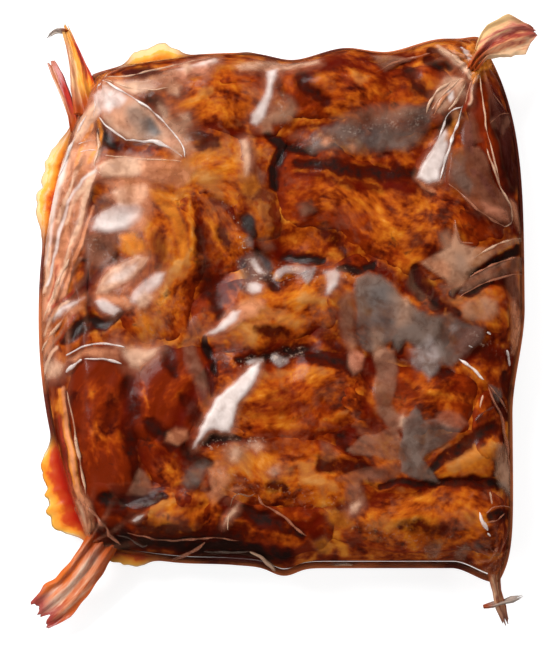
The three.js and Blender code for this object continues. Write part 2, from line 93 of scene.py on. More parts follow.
# Bands where the meat is golden and painted lighter, black with char or deep sauce and painted shade
# in the gaps and hollows, or lies under clear red sauce. Each goes from x, y to x, y, with its bend
# to the left, three half widths and its strength.
GOLD_AND_LIGHT_BANDS = [
    (-46.5, 87.5, -29.5, 93, 0, 2.5, 3.8, 2.5, 0.8),
    (-40, 49, -39, 21.5, 2.9, 2.1, 2.9, 2.1, 1),
    (-43, 21.5, -48, 5.5, 0, 2.5, 2.9, 2.1, 0.7),
    (-65.5, 31.5, -59, 23, 0, 2.5, 3.8, 2.5, 0.9),
    (-55, 51.5, -42, 45, 0, 1.7, 2.5, 1.7, 0.9),
    (-60.5, -2, -54, -13.5, 0, 2.1, 3.4, 1.7, 0.7),
    (-18.5, -5, -11, -10.5, 0, 2.5, 3.8, 2.5, 1),
    (-22, -11.5, -18, -22.5, 0, 1.7, 2.9, 1.7, 0.9),
    (8, 6.5, 23, 3.5, 0, 3.4, 4.2, 2.5, 0.8),
    (-15, 3.5, 8, -5, 0, 3.4, 4.2, 3.4, 0.6),
    (-92.5, 60, -83.5, 47.5, 0, 2.1, 3.4, 2.1, 0.6),
    (-97.5, 41, -91, 9.5, -0.8, 1.7, 3.4, 2.1, 0.6),
    (-27.5, 105.5, 8, 108, 0, 2.1, 2.5, 1.7, 0.8),
    (-20.5, 98.5, -18.5, 93.5, 0, 1.7, 2.5, 1.7, 0.4),
    (-2.5, 87.5, 8, 84.5, 0, 2.1, 3.4, 1.7, 0.8),
    (18.5, 86, 26, 82, 0, 1.7, 2.5, 1.3, 0.8),
    (27, 102, 38.5, 98.5, -0.8, 1.7, 2.9, 1.7, 0.6),
    (51, 97, 59.5, 94.5, 0, 2.5, 3.4, 2.1, 0.25),
    (8, 59, 30, 53.5, 0.8, 2.5, 4.2, 2.5, 0.7),
    (27, 62, 50, 43, 1.3, 2.1, 2.9, 2.1, 0.6),
    (35.5, 45.5, 54.5, 21.5, 1.7, 3.4, 5.5, 3.4, 0.5),
    (50, 41, 67, 27.5, 0, 2.1, 3.8, 2.1, 0.5),
    (-13, 77, -10.5, 56, 0, 1.7, 2.5, 1.7, 0.7),
    (-40, 62, -19, 47.5, 0, 3.4, 5, 3.4, 0.5),
    (-8, 42.5, 8, 38, 0, 2.5, 3.8, 2.1, 0.6),
    (-20.5, -36.5, -8, -34.5, 0, 2.5, 3.4, 2.5, 0.8),
    (-13, -28, 21, -25, 2.5, 2.1, 3.4, 2.9, 0.4),
    (13, -69.5, 20, -83, 0, 2.9, 4.6, 2.9, 0.9),
    (-5, 36.5, 1.5, 35, 0, 2.5, 3.8, 2.5, 0.7),
    (13, -95.5, 21, -97, 0, 2.1, 3.4, 2.1, 0.8),
    (48, 19.5, 54.5, 17, 0, 2.5, 3.8, 2.5, 0.6),
    (-47, 96, -42, 93, 0, 2.5, 3.8, 2.5, 0.6),
    (-47, -50, -41.5, -53.5, 0, 2.5, 3.8, 2.5, 0.5),
    (-5, 34, 0.5, 31.5, 0, 2.5, 3.8, 2.5, 0.5),
    (21, -80.5, 28.5, -87, 0, 2.9, 4.2, 2.9, 0.8),
    (-17, 57.5, -10.5, 49, 0, 2.9, 4.2, 2.9, 0.8),
    (12.5, -93.5, 21, -99, 0, 2.1, 3.4, 2.1, 0.6),
    (79.5, -58.5, 84.5, -57, 0, 2.5, 3.8, 2.5, 1),
    (-30.5, 55, -24.5, 47.5, 0, 3.8, 5, 3.4, 0.6),
    (-59, 3, -54, -10.5, 0, 2.5, 3.8, 2.1, 0.8),
    (10.5, -22, 21, -26, 0, 2.5, 3.8, 2.5, 0.9),
    (17.5, -45, 29, -40, 0, 2.5, 3.4, 2.1, 0.8),
    (-6.5, -47, 16.5, -49, 0, 1.7, 2.5, 1.7, 0.6),
    (-18.5, -53.5, -13, -66, 0, 2.9, 4.2, 3.4, 0.9),
    (-27, -78.5, -18.5, -66, 0.8, 2.5, 3.8, 2.5, 0.8),
    (8, -62.5, 21, -74.5, 0, 2.9, 5, 3.4, 0.9),
    (16, -69.5, 29, -78.5, 0, 2.9, 4.6, 2.5, 0.8),
    (18.5, -83, 27, -97.5, 0, 2.9, 3.8, 2.1, 0.9),
    (8, -104, 22.5, -89.5, 0, 1.3, 2.1, 1.7, 0.9),
    (33.5, -69.5, 63, -78.5, 0.4, 2.1, 3.8, 2.5, 0.8),
    (58.5, -85, 38.5, -87, 0, 2.1, 3.8, 2.5, 0.4),
    (50, -91, 56.5, -95.5, 0, 2.1, 3.4, 2.1, 0.8),
    (71, -62.5, 89, -54, 0, 3.4, 4.2, 2.9, 1),
    (58.5, -30.5, 79.5, -36.5, 0, 2.1, 3.4, 2.1, 0.8),
    (48, -26, 54.5, -30.5, 0, 2.1, 3.4, 2.1, 0.7),
    (-55.5, -81, -44, -78.5, 0, 2.9, 4.2, 2.9, 1),
    (-46.5, -51.5, -38, -49, 0, 2.1, 2.9, 1.7, 1),
    (-58, -25, -55.5, -39, 0, 1.3, 2.1, 1.3, 0.9),
    (-92, -30.5, -83.5, -66, -0.4, 1.5, 2.1, 1.5, 1),
    (-79, -32.5, -74, -62, 0, 1.7, 3.4, 2.1, 0.4),
    (94.5, 5.5, 97, -13.5, 0, 2.1, 2.9, 1.7, 0.9),
    (85.5, -98.5, 91.5, -97.5, 0, 2.1, 3.4, 2.1, 0.9),
    (63, 12, 69.5, -2, 0, 2.1, 2.5, 1.7, 0.6),
    (77.5, 36.5, 84, 28, 0, 2.1, 2.9, 1.7, 0.4),
]
# The dark bands: char and deep sauce, and painted shade in the gaps and hollows between ribs.
CHAR_AND_SHADE_BANDS = [
    (-75, 78.5, -67.5, 69.5, 0, 1.7, 2.9, 1.7, 0.9),
    (-55.5, 91, -48, 83.5, 0, 2.5, 3.8, 2.1, 1),
    (-5, 75, 15, 67, -0.4, 2.1, 2.9, 0.8, 1),
    (1.5, 68.5, -2.5, 52, 0, 2.9, 2.5, 1.7, 1),
    (69.5, 82, 67, 69.5, 0.4, 0.6, 1.3, 0.8, 0.9),
    (-76, 29.5, -69, 21.5, 0, 2.9, 5, 2.9, 0.8),
    (-3.5, -72, 0.5, -73.5, 0, 2.5, 3.8, 2.5, 0.6),
    (-34, 69, -25.5, 72, 0, 2.1, 3.4, 2.1, 0.6),
    (-48.5, -88.5, -15, -89.5, 0, 2.5, 4.2, 3.4, 0.6),
    (-24.5, 34, -23, 26.5, 0, 2.5, 3.8, 2.5, 0.5),
    (-10.5, -8, 2, -9.5, 0, 1.7, 2.9, 1.7, 0.5),
    (56.5, 10.5, 63.5, 5.5, 0, 2.1, 3.4, 2.1, 0.6),
    (48, -87, 67, -88.5, 0, 2.5, 3.8, 2.5, 0.5),
    (-87.5, -7.5, -67, -0.5, 0, 2.1, 3.4, 0.8, 0.9),
    (-14.5, 40.5, -11, 31.5, 0, 1.7, 2.5, 1.7, 0.9),
    (-8.5, 24.5, -3.5, 12, 0, 2.1, 3.4, 2.1, 0.7),
    (0.5, 24, 16.5, 21.5, 0.4, 1.3, 1.9, 0.8, 1),
    (25, 17, 38.5, 19.5, 0.4, 1.1, 1.7, 0.8, 1),
    (-16, -19, 11.5, -16.5, 0.8, 2.5, 4.2, 1.3, 1),
    (-31.5, -9.5, -27, -25.5, 0, 0.6, 1.5, 1.1, 1),
    (-31.5, -53.5, -17, -52, 0.4, 1.3, 2.5, 0.8, 0.9),
    (-39.5, -57.5, -29.5, -62.5, 0, 2.5, 3.8, 2.5, 0.8),
    (-31.5, -25, -28, -34.5, 0, 2.1, 2.5, 1.3, 0.6),
    (101.5, 29, 77, 17, 0.4, 0.8, 1.9, 0.6, 1),
    (72, 7, 87, 14, 0.4, 1.1, 2.5, 1.3, 0.8),
    (55.5, 18, 57, 6.5, 0, 2.1, 3.4, 1.7, 0.9),
    (47.5, -12, 50, -16.5, 0, 1.7, 2.5, 1.3, 0.8),
    (63.5, 3.5, 72, 0.5, 0, 2.1, 2.5, 1.3, 0.6),
    (62, -22.5, 71, -25, 0, 2.5, 3.4, 1.7, 0.7),
    (60.5, -64.5, 88, -45.5, 0.8, 1.3, 3.4, 3.4, 0.8),
    (42, -71, 88, -70, 0.4, 0.8, 1.7, 3.4, 0.8),
    (85.5, -83.5, 94, -83, 0, 2.1, 2.9, 1.7, 0.8),
    (-71.5, -93.5, 2, -98.5, 0, 3.4, 5.5, 3.4, 1),
    (-48.5, -13.5, -43, -25.5, 0, 1.7, 3.4, 2.1, 0.6),
    (8, -13.5, 23, -20.5, 0, 2.1, 3.8, 2.5, 0.7),
    (-68, -80.5, -48.5, -91, 0, 4.2, 6.3, 4.2, 0.6),
    (-59, -73.5, -48.5, -76, 0, 2.5, 3.4, 2.1, 0.6),
    (-90, -9.5, -76, -4, 0, 2.1, 3.4, 2.1, 0.8),
    (52.5, 102, 62, 91.5, 0, 2.5, 3.8, 2.5, 0.6),
    (-39.5, -34.5, -34, -47, 0, 2.5, 3.4, 2.5, 0.6),
    (-38, -92, -8, -95.5, 0, 3.4, 4.2, 2.5, 1),
    (16, -62, 41, -64.5, 0, 2.5, 3.4, 2.1, 0.6),
    (-13.5, -82, 8, -89.5, 0, 2.5, 3.8, 2.1, 0.8),
    (-62.5, -28, -59, -67.5, 0, 2.9, 4.6, 3.4, 0.6),
    (-54, -45, -44, -55, 0, 2.5, 3.8, 2.1, 0.7),
    (-72.5, -77, -48, -75, 0, 2.5, 3.4, 1.7, 0.9),
    (-76, -87, -64, -91, 0, 2.5, 3.4, 2.1, 0.7),
    (88, 89.5, 95.5, 51.5, 0.8, 2.5, 5.5, 2.9, 0.7),
    (60.5, 108, 72, 103, 0, 2.1, 3.4, 2.1, 0.8),
    (63, 112, 69.5, 110.5, 0, 1.3, 1.7, 1.3, 0.6),
    (9, 62.5, 58.5, 57, 0.8, 2.1, 4.2, 3.4, 0.75),
    (91.5, 17, 99, 6.5, 0, 2.5, 3.8, 2.5, 0.6),
    (8.5, 100, 17, 89, 0, 3.8, 5.5, 3.4, 0.7),
    (-34, 35.5, -31.5, 9, 0.8, 2.5, 3.8, 2.5, 0.6),
    (-29, 14.5, -24.5, 0.5, 0, 2.5, 3.8, 2.1, 0.7),
    (18.5, 37, 27, 21.5, 0, 2.1, 2.9, 1.7, 0.5),
    (21, -11.5, 30, -25, 0, 2.9, 4.2, 2.5, 0.6),
    (23.5, -51.5, 27.5, -56.5, 0, 2.5, 3.4, 0.8, 0.7),
    (-42, 76, -29, 73.5, 0, 1.3, 2.5, 1.3, 0.7),
    (79.5, -13.5, 88, -18, 0, 3.4, 5.9, 3.4, 0.5),
    (93, -24, 97, -36.5, 0, 1.3, 2.1, 1.3, 0.7),
    (89, -31.5, 94, -41, 0, 1.3, 2.1, 0.8, 0.7),
]
REDS = [
    (-65.5, 102, -51.5, 101, 0, 1.3, 2.3, 1.3, 0.9),
    (-44, 106.5, -62.5, 105.5, 0, 0.6, 1.1, 0.6, 0.6),
    (10.5, 101, 38.5, 108, 0.8, 3.4, 4.6, 3.4, 0.7),
    (27, 103.5, 38.5, 101, 0, 2.5, 3.4, 2.1, 0.7),
    (8, 57.5, 56.5, 51.5, 0, 2.9, 4.6, 3.4, 0.8),
    (-5, -35, 6.5, -33, 0, 2.9, 4.2, 2.9, 0.5),
    (-23, 12, -22, 5.5, 0, 2.1, 2.9, 2.1, 0.8),
    (-93, 5.5, -76.5, 17.5, 0, 2.5, 5, 4.2, 0.9),
    (-55, -102, 0, -104.5, 0, 2.5, 3.8, 2.5, 0.8),
    (-92.5, -42.5, -87.5, -78.5, -0.4, 2.1, 3.8, 2.9, 1),
    (-98, -27.5, -97, -41.5, 0, 1.3, 1.9, 0.8, 0.9),
    (-79, 82.5, -86, 70.5, 0, 1.3, 2.5, 1.7, 0.5),
    (78, -16.5, 94, -15.5, 0, 4.6, 7.1, 5, 0.9),
    (-39.5, -80.5, -32, -77.5, 0, 2.9, 3.8, 2.1, 0.7),
    (-18.5, -41.5, 8, -38.5, 0, 3.4, 5.9, 3.8, 0.5),
    (92, 51.5, 100.5, 32.5, 0, 2.5, 4.2, 2.5, 0.6),
    (91.5, -87, 95.5, -97.5, 0, 1.7, 2.5, 1.7, 0.6),
    (-80, -95.5, -71, -102, 0, 2.9, 3.8, 2.5, 0.7),
    (25, 5.5, 29, -9.5, 0, 2.5, 3.4, 2.5, 0.4),
    (58.5, -34.5, 73.5, -30.5, 0, 2.1, 3.4, 2.1, 0.5),
    (39.5, -74.5, 58.5, -72, 0, 1.3, 2.1, 1.3, 0.6),
]
DIP = 0.2


def bump(t, centre, half_width):
    """A bell: 1 at the centre, 0.37 one half width away."""
    return np.exp(-(((t - centre) / half_width) ** 2))


def ease(t, low, high):
    """0 below low, 1 above high, and a smooth rise between them."""
    t = np.clip((t - low) / (high - low), 0, 1)
    return t * t * (3 - 2 * t)


def plan(u, v):
    """Place in the pack's plan for u and v from -1 to 1: a straight blend between its four curved sides."""
    left = -1 + 0.215 * np.abs(v) ** 2.1
    upper, lower = np.maximum(v, 0), np.maximum(-v, 0)
    right = 1 - 0.18 * upper**4 - 0.055 * ease(-v, 0, 0.4) - 0.06 * lower**12
    left_of = np.maximum(-u, 0)
    top = 1 - 0.085 * left_of**3 - 0.03 * bump(u, 0.03, 0.14) + 0.018 * bump(u, 0.32, 0.12)
    top += 0.055 * ease(u, 0.5, 0.84) + 0.008 * ease(u, 0.9, 1)
    bottom = -1 + 0.075 * left_of**1.5 + 0.012 * ease(u, -0.6, -0.3) - 0.03 * bump(u, -0.05, 0.08)
    bottom -= 0.055 * ease(u, 0.78, 1)
    x = CENTRE_X + HALF_X * (left + (right - left) * (u + 1) / 2)
    y = CENTRE_Y + HALF_Y * (bottom + (top - bottom) * (v + 1) / 2)
    return x, y


def plan_inverse(x, y):
    """u and v of a place in the plan, by repeated correction of a first guess."""
    u, v = (x - CENTRE_X) / HALF_X, (y - CENTRE_Y) / HALF_Y
    for _ in range(6):
        px, py = plan(np.clip(u, -1.2, 1.2), np.clip(v, -1.2, 1.2))
        u, v = u + (x - px) / HALF_X, v + (y - py) / HALF_Y
    return u, v


def quarter_round(inset, radius):
    """A quarter circle's height: 0 at the seam, 1 from the radius inwards."""
    t = np.clip(inset / radius, 0, 1)
    return np.sqrt(1 - (1 - t) ** 2)


def fullness(u, v):
    """How full the pack is above the seam at u, v: the product of quarter rounds from its four sides."""
    left = quarter_round((1 + u) * HALF_X, SHOULDERS["left"])
    right = quarter_round((1 - u) * HALF_X, SHOULDERS["right"])
    bottom = quarter_round((1 + v) * HALF_Y, SHOULDERS["bottom"])
    top = quarter_round((1 - v) * HALF_Y, SHOULDERS["top"])
    return left * right * bottom * top


def under_fullness(u, v):
    """How full the pack is below the seam: quarter rounds of one radius on all sides."""
    across = quarter_round((1 - np.abs(u)) * HALF_X, UNDER_ROUND)
    return across * quarter_round((1 - np.abs(v)) * HALF_Y, UNDER_ROUND)


def draw_in(x, y, limit=BAG_EDGE):
    """Draws places near or past the seam inwards, so that what they belong to fits in the bag."""
    knee = limit - 0.1
    u, v = [np.where(np.abs(t) > knee, np.sign(t) * (knee + 0.1 * np.tanh((np.abs(t) - knee) / 0.1)), t)
            for t in plan_inverse(x, y)]
    return *plan(u, v), u, v


def noise(x, y, cell, seed):
    """Value noise from -1 to 1: seeded random numbers on a square lattice, eased between its corners."""
    table = np.random.default_rng(seed).uniform(-1, 1, (256, 256))
    gx, gy = x / cell + 1000, y / cell + 1000
    ix, iy = np.floor(gx).astype(int), np.floor(gy).astype(int)
    fx, fy = gx - ix, gy - iy
    fx, fy = fx * fx * (3 - 2 * fx), fy * fy * (3 - 2 * fy)
    a, b = table[ix % 256, iy % 256], table[(ix + 1) % 256, iy % 256]
    c, d = table[ix % 256, (iy + 1) % 256], table[(ix + 1) % 256, (iy + 1) % 256]
    return (a * (1 - fx) + b * fx) * (1 - fy) + (c * (1 - fx) + d * fx) * fy


def sway(x, y):
    """How far the ribs' outlines wander from straight bars: slow waves in both directions."""
    wave_x = 2.0 * np.sin(y / 8.3 + 0.7) + 1.1 * np.sin(x / 5.1 + y / 9.7 + 2.1)
    wave_y = 2.0 * np.sin(x / 7.7 + 1.9) + 1.1 * np.sin(y / 5.9 - x / 8.9)
    return wave_x, wave_y


def rib_place(rib, x, y):
    """Along and across a bent rib, as shares of its half length and half width."""
    cx, cy, length, width, turn, bend = RIBS[rib][:6]
    c, s = math.cos(math.radians(turn)), math.sin(math.radians(turn))
    sx, sy = sway(x, y)
    x, y = x + sx - cx, y + sy - cy
    along = (x * c + y * s) / (length / 2 * SPREAD)
    return along, (y * c - x * s - bend * (1 - along**2)) / (width / 2 * SPREAD)


def ragged(x, y, amount=1.0):
    """Places shifted a little by two noises, which makes straight bands drawn on them ragged."""
    shift_x = 1.8 * noise(x, y, 8, 71) + 0.8 * noise(x, y, 3, 72)
    shift_y = 1.8 * noise(x, y, 8, 73) + 0.8 * noise(x, y, 3, 74)
    return x + amount * shift_x, y + amount * shift_y


def band(row, x, y):
    """How far inside a bent, tapered band with round ends a place lies, in millimetres, and the band's
    half width there."""
    x0, y0, x1, y1, bend, start, middle, end = row[:8]
    length = math.hypot(x1 - x0, y1 - y0)
    ux, uy = (x1 - x0) / length, (y1 - y0) / length
    share = ((x - x0) * ux + (y - y0) * uy) / length
    beyond = np.maximum(np.maximum(-share, share - 1), 0) * length
    share = np.clip(share, 0, 1)
    across = (y - y0) * ux - (x - x0) * uy - bend * 4 * share * (1 - share)
    half = start * (1 - share) * (1 - 2 * share) + 4 * middle * share * (1 - share)
    half = half + end * share * (2 * share - 1)
    return half - np.hypot(across, beyond), half


def painted(rows, x, y, softness=0.75, grow=0.0, amount=1.0):
    """How strongly bands cover a place: each fades over the softness share of its half width, and
    overlapping ones add up."""
    x, y = ragged(x, y, amount)
    clear = np.ones_like(x)
    for row in rows:
        inside, half = band(row, x, y)
        clear *= 1 - row[8] * ease((inside + grow) / (softness * half + 0.3), 0, 1)
    return 1 - clear


def hollow(x, y):
    """How far the film dips where nothing presses on it from below: more towards each dark band's middle."""
    x, y = ragged(x, y)
    return DIP * np.maximum.reduce([row[8] * np.clip(band(row, x, y)[0], 0, 5) for row in CHAR_AND_SHADE_BANDS])


def backs(x, y):
    """Heights of all the ribs' backs: each falls from its crest with the square of the distance across."""
    heights = []
    for rib in RIBS:
        along, across = rib_place(rib, x, y)
        heights.append(RIBS[rib][6] - FILM_FALL * (np.abs(along) ** 3 + across**2))
    return heights


def top_tone(x, y):
    """Tone of the rib that lies highest at a place."""
    return np.array([row[7] for row in RIBS.values()])[np.argmax(np.stack(backs(x, y)), axis=0)]


def between(x, y):
    """Painted shade and sauce where two ribs meet: 1 there and 0 inside one, a bell of the step between
    the two highest backs, which comes and goes with a noise."""
    heights = np.sort(np.stack(backs(*ragged(x, y))), axis=0)
    width = 1.3 + 0.6 * noise(x, y, 11, 81)
    return bump(heights[-1] - heights[-2], 0, width) * np.clip(0.75 + 0.6 * noise(x, y, 17, 82), 0, 1)


def film_base(x, y):
    """Height of the taut film: a smooth maximum of the ribs' backs and the level it bridges at, less the
    hollows."""
    total = 1 + sum(np.exp(np.minimum((back - VALLEY_Z) / SPAN, 20)) for back in backs(x, y))
    unevenness = 0.8 * noise(x, y, 13, 3) + 0.45 * noise(x, y, 6, 4)
    return VALLEY_Z + SPAN * np.log(total) + unevenness - hollow(x, y)


def in_bag(x, y, height, u, v):
    """Points at a height above the floor, squeezed towards the seam as the pack is."""
    share = np.where(height > SEAM_Z, fullness(u, v), under_fullness(u, v))
    return np.stack([x, y, SEAM_Z + (height - SEAM_Z) * share], -1)


def mesh_piece(name, points, quads, material, attributes=(), triangles=()):
    """An object at the origin from points in millimetres and arrays of faces, shaded smooth."""
    mesh = bpy.data.meshes.new(name)
    quads, triangles = np.asarray(quads, int).reshape(-1, 4), np.asarray(triangles, int).reshape(-1, 3)
    corners = np.concatenate([quads.ravel(), triangles.ravel()])
    starts = np.concatenate([np.arange(len(quads)) * 4, 4 * len(quads) + np.arange(len(triangles)) * 3])
    mesh.vertices.add(len(points))
    mesh.vertices.foreach_set("co", ((points + (MOVE_X, MOVE_Y, 0)) * MM).astype(np.float32).ravel())
    mesh.loops.add(len(corners))
    mesh.loops.foreach_set("vertex_index", corners.astype(np.int32))
    mesh.polygons.add(len(starts))
    mesh.polygons.foreach_set("loop_start", starts.astype(np.int32))
    mesh.update(calc_edges=True)
    mesh.shade_smooth()
    for key, values in dict(attributes).items():
        if np.ndim(values) == 2:
            layer = mesh.attributes.new(key, "FLOAT_COLOR", "POINT")
            colours = np.column_stack([values, np.ones(len(points))])
            layer.data.foreach_set("color", colours.astype(np.float32).ravel())
            continue
        layer = mesh.attributes.new(key, "FLOAT", "POINT")
        layer.data.foreach_set("value", np.broadcast_to(values, len(points)).astype(np.float32))
    mesh.materials.append(material)
    piece = bpy.data.objects.new(name, mesh)
    bpy.context.scene.collection.objects.link(piece)
    return piece


def grid_quads(index):
    """Quads between neighbours in a grid of point numbers, facing up where rows run along x and columns
    along y."""
    return np.stack([index[:-1, :-1], index[1:, :-1], index[1:, 1:], index[:-1, 1:]], -1).reshape(-1, 4)


def shell(top, under):
    """Points and quads of a closed body from two grids of points that share their edge."""
    rows, columns = top.shape[:2]
    upper = np.arange(rows * columns).reshape(rows, columns)
    lower = upper.copy()
    lower[1:-1, 1:-1] = rows * columns + np.arange((rows - 2) * (columns - 2)).reshape(rows - 2, columns - 2)
    points = np.concatenate([top.reshape(-1, 3), under[1:-1, 1:-1].reshape(-1, 3)])
    return points, np.concatenate([grid_quads(upper), grid_quads(lower)[:, ::-1]])


def spread(top_values, under_values):
    """One value for each point of a shell, from the grids of its top and its underside."""
    return np.concatenate([top_values.ravel(), under_values[1:-1, 1:-1].ravel()])


def meat_relief(a, c, seed):
    """How far the meat lies back from the film: broad lumps, bundles of fibre along it and fine crumbs."""
    broad = 0.5 + 0.5 * noise(a, c, 9, seed)
    warped = c + 1.5 * noise(a, c, 8, seed + 1)
    bundles = 1 - np.abs(noise(a / 2.5, warped, 3.6, seed + 2))
    fine = 0.5 + 0.5 * noise(a / 1.5, c, 1.9, seed + 3)
    return 0.9 * broad**1.5 + 0.35 * bundles**2 + 0.15 * fine


def grid_line(steps):
    """Numbers from -1 to 1 that lie closer together at both ends."""
    t = np.linspace(-1, 1, steps)
    return (t + np.sin(t * math.pi / 2)) / 2


def grid(steps, edge=1.0):
    """A grid of numbers from -edge to edge in both directions."""
    return np.meshgrid(grid_line(steps[0]) * edge, grid_line(steps[1]) * edge, indexing="ij")


def both_sides(**grids):
    """Values for the points of a shell that are the same on its top and its underside."""
    return {key: spread(values, values) for key, values in grids.items()}


def stains_and_shade(x, y):
    """How strongly the gold, red and dark bands and the lines where ribs meet cover each place: the gold
    bands partly painted light, the dark bands and the lines where ribs meet partly painted shade.
    """
    return {
        "golden": painted(GOLD_AND_LIGHT_BANDS, x, y, 1.2, 0.3), "red": painted(REDS, x, y, 1.2, 0.5),
        "dark": painted(CHAR_AND_SHADE_BANDS, x, y, 1.1, 1.2), "meeting": between(x, y),
    }


def bar_grid(middle, half_size, turn, bend, steps, passes, limit=BAG_EDGE):
    """A bent bar with round corners in the plan, swayed and drawn into the bag: millimetres along and
    across it, its places with u and v, how near its edge each one is, and how far it is rounded off."""
    s, t = grid(steps)
    along, across = s * np.sqrt(1 - 0.35 * t**2), t * np.sqrt(1 - 0.35 * s**2)
    a, c = along * half_size[0], across * half_size[1] + bend * (1 - along**2)
    cos, sin = math.cos(math.radians(turn)), math.sin(math.radians(turn))
    bar_x, bar_y = middle[0] + a * cos - c * sin, middle[1] + a * sin + c * cos
    x, y = bar_x, bar_y
    for _ in range(passes):
        sway_x, sway_y = sway(x, y)
        x, y = bar_x - sway_x, bar_y - sway_y
    edge = np.clip(np.abs(along) ** 3 + across**2, 0, 1.4)
    return a, c, draw_in(x, y, limit), edge, np.sqrt((1 - s**10) * (1 - np.abs(t) ** 7))


def meat_values(a, c, tone, **grids):
    """What the meat's material reads at each point: place along its fibres and across them, and tone.
    Each rib has a number of its own, so that no two have the same grain."""
    values = both_sides(tone=tone, fibre=a * FIBRE_SCALE, lane=c, **grids)
    return values | {"kind": KIND_STEP * len(bpy.data.meshes)}


def rib_piece(rib, material, steps=(120, 62)):
    """A rib as a closed bar: pressed against the film above, rounded at its sides, and plain below."""
    cx, cy, length, width, turn, bend, crest, tone = RIBS[rib]
    half_size = length / 2 * SPREAD, width / 2 * SPREAD
    a, c, (x, y, u, v), edge, round_off = bar_grid((cx, cy), half_size, turn, bend, steps, 4)
    relief, stain, film = meat_relief(a, c, sum(map(ord, rib))), stains_and_shade(x, y), film_base(x, y)
    rim = crest - SIDE_DROP
    back = film - GAP - relief * (1 - 0.5 * stain["golden"]) - 0.5 * stain["dark"] - 0.7 * stain["meeting"]
    back = rim + (back - rim) * round_off
    points, quads = shell(in_bag(x, y, back, u, v), in_bag(x, y, rim - BELLY * round_off, u, v))
    # The tone falls towards the rib's ends and sides: painted shade on its rounded flanks.
    values = meat_values(a, c, tone + 0.4 - 2.4 * edge, **stain)
    # How far the meat lies under the film: its material darkens with it, as sauce and as painted shade in the
    # hollows.
    values["depth"] = spread(film - back, film - back + BELLY)
    return mesh_piece("rib_" + rib, points, quads, material, values)


def node(tree, kind, links=(), **values):
    """Adds a shader node, sets its inputs and properties by name, and links other nodes' outputs to it."""
    made = tree.nodes.new(kind)
    for key, value in values.items():
        if key in made.inputs:
            made.inputs[key].default_value = value
        else:
            setattr(made, key, value)
    for key, source in dict(links).items():
        tree.links.new(source, made.inputs[key])
    return made


def new_material(name):
    """A material with an empty node tree and its output node."""
    material = bpy.data.materials.new(name)
    material.use_nodes = True
    material.node_tree.nodes.clear()
    return material, material.node_tree, material.node_tree.nodes.new("ShaderNodeOutputMaterial")


def ramp(tree, factor, *stops):
    """A colour ramp over factor, from stops of place and colour, or place and grey value."""
    made = tree.nodes.new("ShaderNodeValToRGB")
    elements = made.color_ramp.elements
    for _ in stops[2:]:
        elements.new(0.5)
    for element, (place, colour) in zip(elements, stops):
        element.position = place
        element.color = (colour,) * 3 + (1,) if isinstance(colour, float) else (*colour, 1)
    tree.links.new(factor, made.inputs["Fac"])
    return made.outputs["Color"]


def mix(tree, factor, a, b, blend="MIX"):
    """Mixes two colours, each a socket or a plain colour, by factor."""
    made = tree.nodes.new("ShaderNodeMix")
    made.data_type = "RGBA"
    made.blend_type = blend
    for socket, value in zip((made.inputs[0], made.inputs[6], made.inputs[7]), (factor, a, b)):
        if isinstance(value, bpy.types.NodeSocket):
            tree.links.new(value, socket)
        else:
            socket.default_value = value if isinstance(value, float) else (*value, 1)
    return made.outputs[2]


def number(tree, operation, a, b):
    """One step of arithmetic on two numbers, each a socket or a plain value."""
    made = node(tree, "ShaderNodeMath", operation=operation)
    for socket, value in zip(made.inputs, (a, b)):
        if isinstance(value, bpy.types.NodeSocket):
            tree.links.new(value, socket)
        else:
            socket.default_value = value
    return made.outputs[0]


def plus(tree, a, b, share):
    """a and a share of b together, each a socket or a plain value."""
    return number(tree, "ADD", a, number(tree, "MULTIPLY", b, share))


def attribute(tree, name, output="Fac"):
    """A value or colour stored on the piece's own points."""
    return node(tree, "ShaderNodeAttribute", attribute_name=name).outputs[output]


def bumped(tree, height, strength):
    """The normal of a surface that a height between 0 and 1 raises by up to a millimetre."""
    return node(tree, "ShaderNodeBump", {"Height": height}, Strength=strength, Distance=MM).outputs["Normal"]


def principled(tree, links, specular=0.5, **values):
    """A Principled shader with the given links and values."""
    made = node(tree, "ShaderNodeBsdfPrincipled", links, **values)
    made.inputs["Specular IOR Level"].default_value = specular
    return made.outputs[0]


def mottle_group():
    """Mottling for meat, sauce and film: Mask mixes a broad and a fine noise, each by its scale per metre."""
    group = bpy.data.node_groups.new("mottle", "ShaderNodeTree")
    sockets = (("Place", "Vector", (0, 0, 0)), ("Broad", "Float", 70.0), ("Fine", "Float", 400.0),
               ("Fine Share", "Float", 0.4), ("Warp", "Float", 0.5))
    for name, kind, value in sockets:
        socket = group.interface.new_socket(name, in_out="INPUT", socket_type="NodeSocket" + kind)
        socket.default_value = value
    group.interface.new_socket("Mask", in_out="OUTPUT", socket_type="NodeSocketFloat")
    given = group.nodes.new("NodeGroupInput").outputs
    noises = []
    for scale in ("Broad", "Fine"):
        links = {"Vector": given["Place"], "Scale": given[scale], "Distortion": given["Warp"]}
        noises.append(node(group, "ShaderNodeTexNoise", links, Detail=2.5, Roughness=0.5).outputs["Fac"])
    share = number(group, "MULTIPLY", noises[1], given["Fine Share"])
    rest = number(group, "MULTIPLY", noises[0], number(group, "SUBTRACT", 1.0, given["Fine Share"]))
    made = group.nodes.new("NodeGroupOutput")
    group.links.new(number(group, "ADD", share, rest), made.inputs["Mask"])
    return group


mottle = mottle_group()


def mottled(tree, broad, fine, share=0.4, warp=0.5, place=None):
    """The mottle group placed in a material, on the piece's object coordinates unless a place is given."""
    made = tree.nodes.new("ShaderNodeGroup")
    made.node_tree = mottle
    for key, value in (("Broad", broad), ("Fine", fine), ("Fine Share", share), ("Warp", warp)):
        made.inputs[key].default_value = value
    tree.links.new(place or node(tree, "ShaderNodeTexCoord").outputs["Object"], made.inputs["Place"])
    return made.outputs["Mask"]


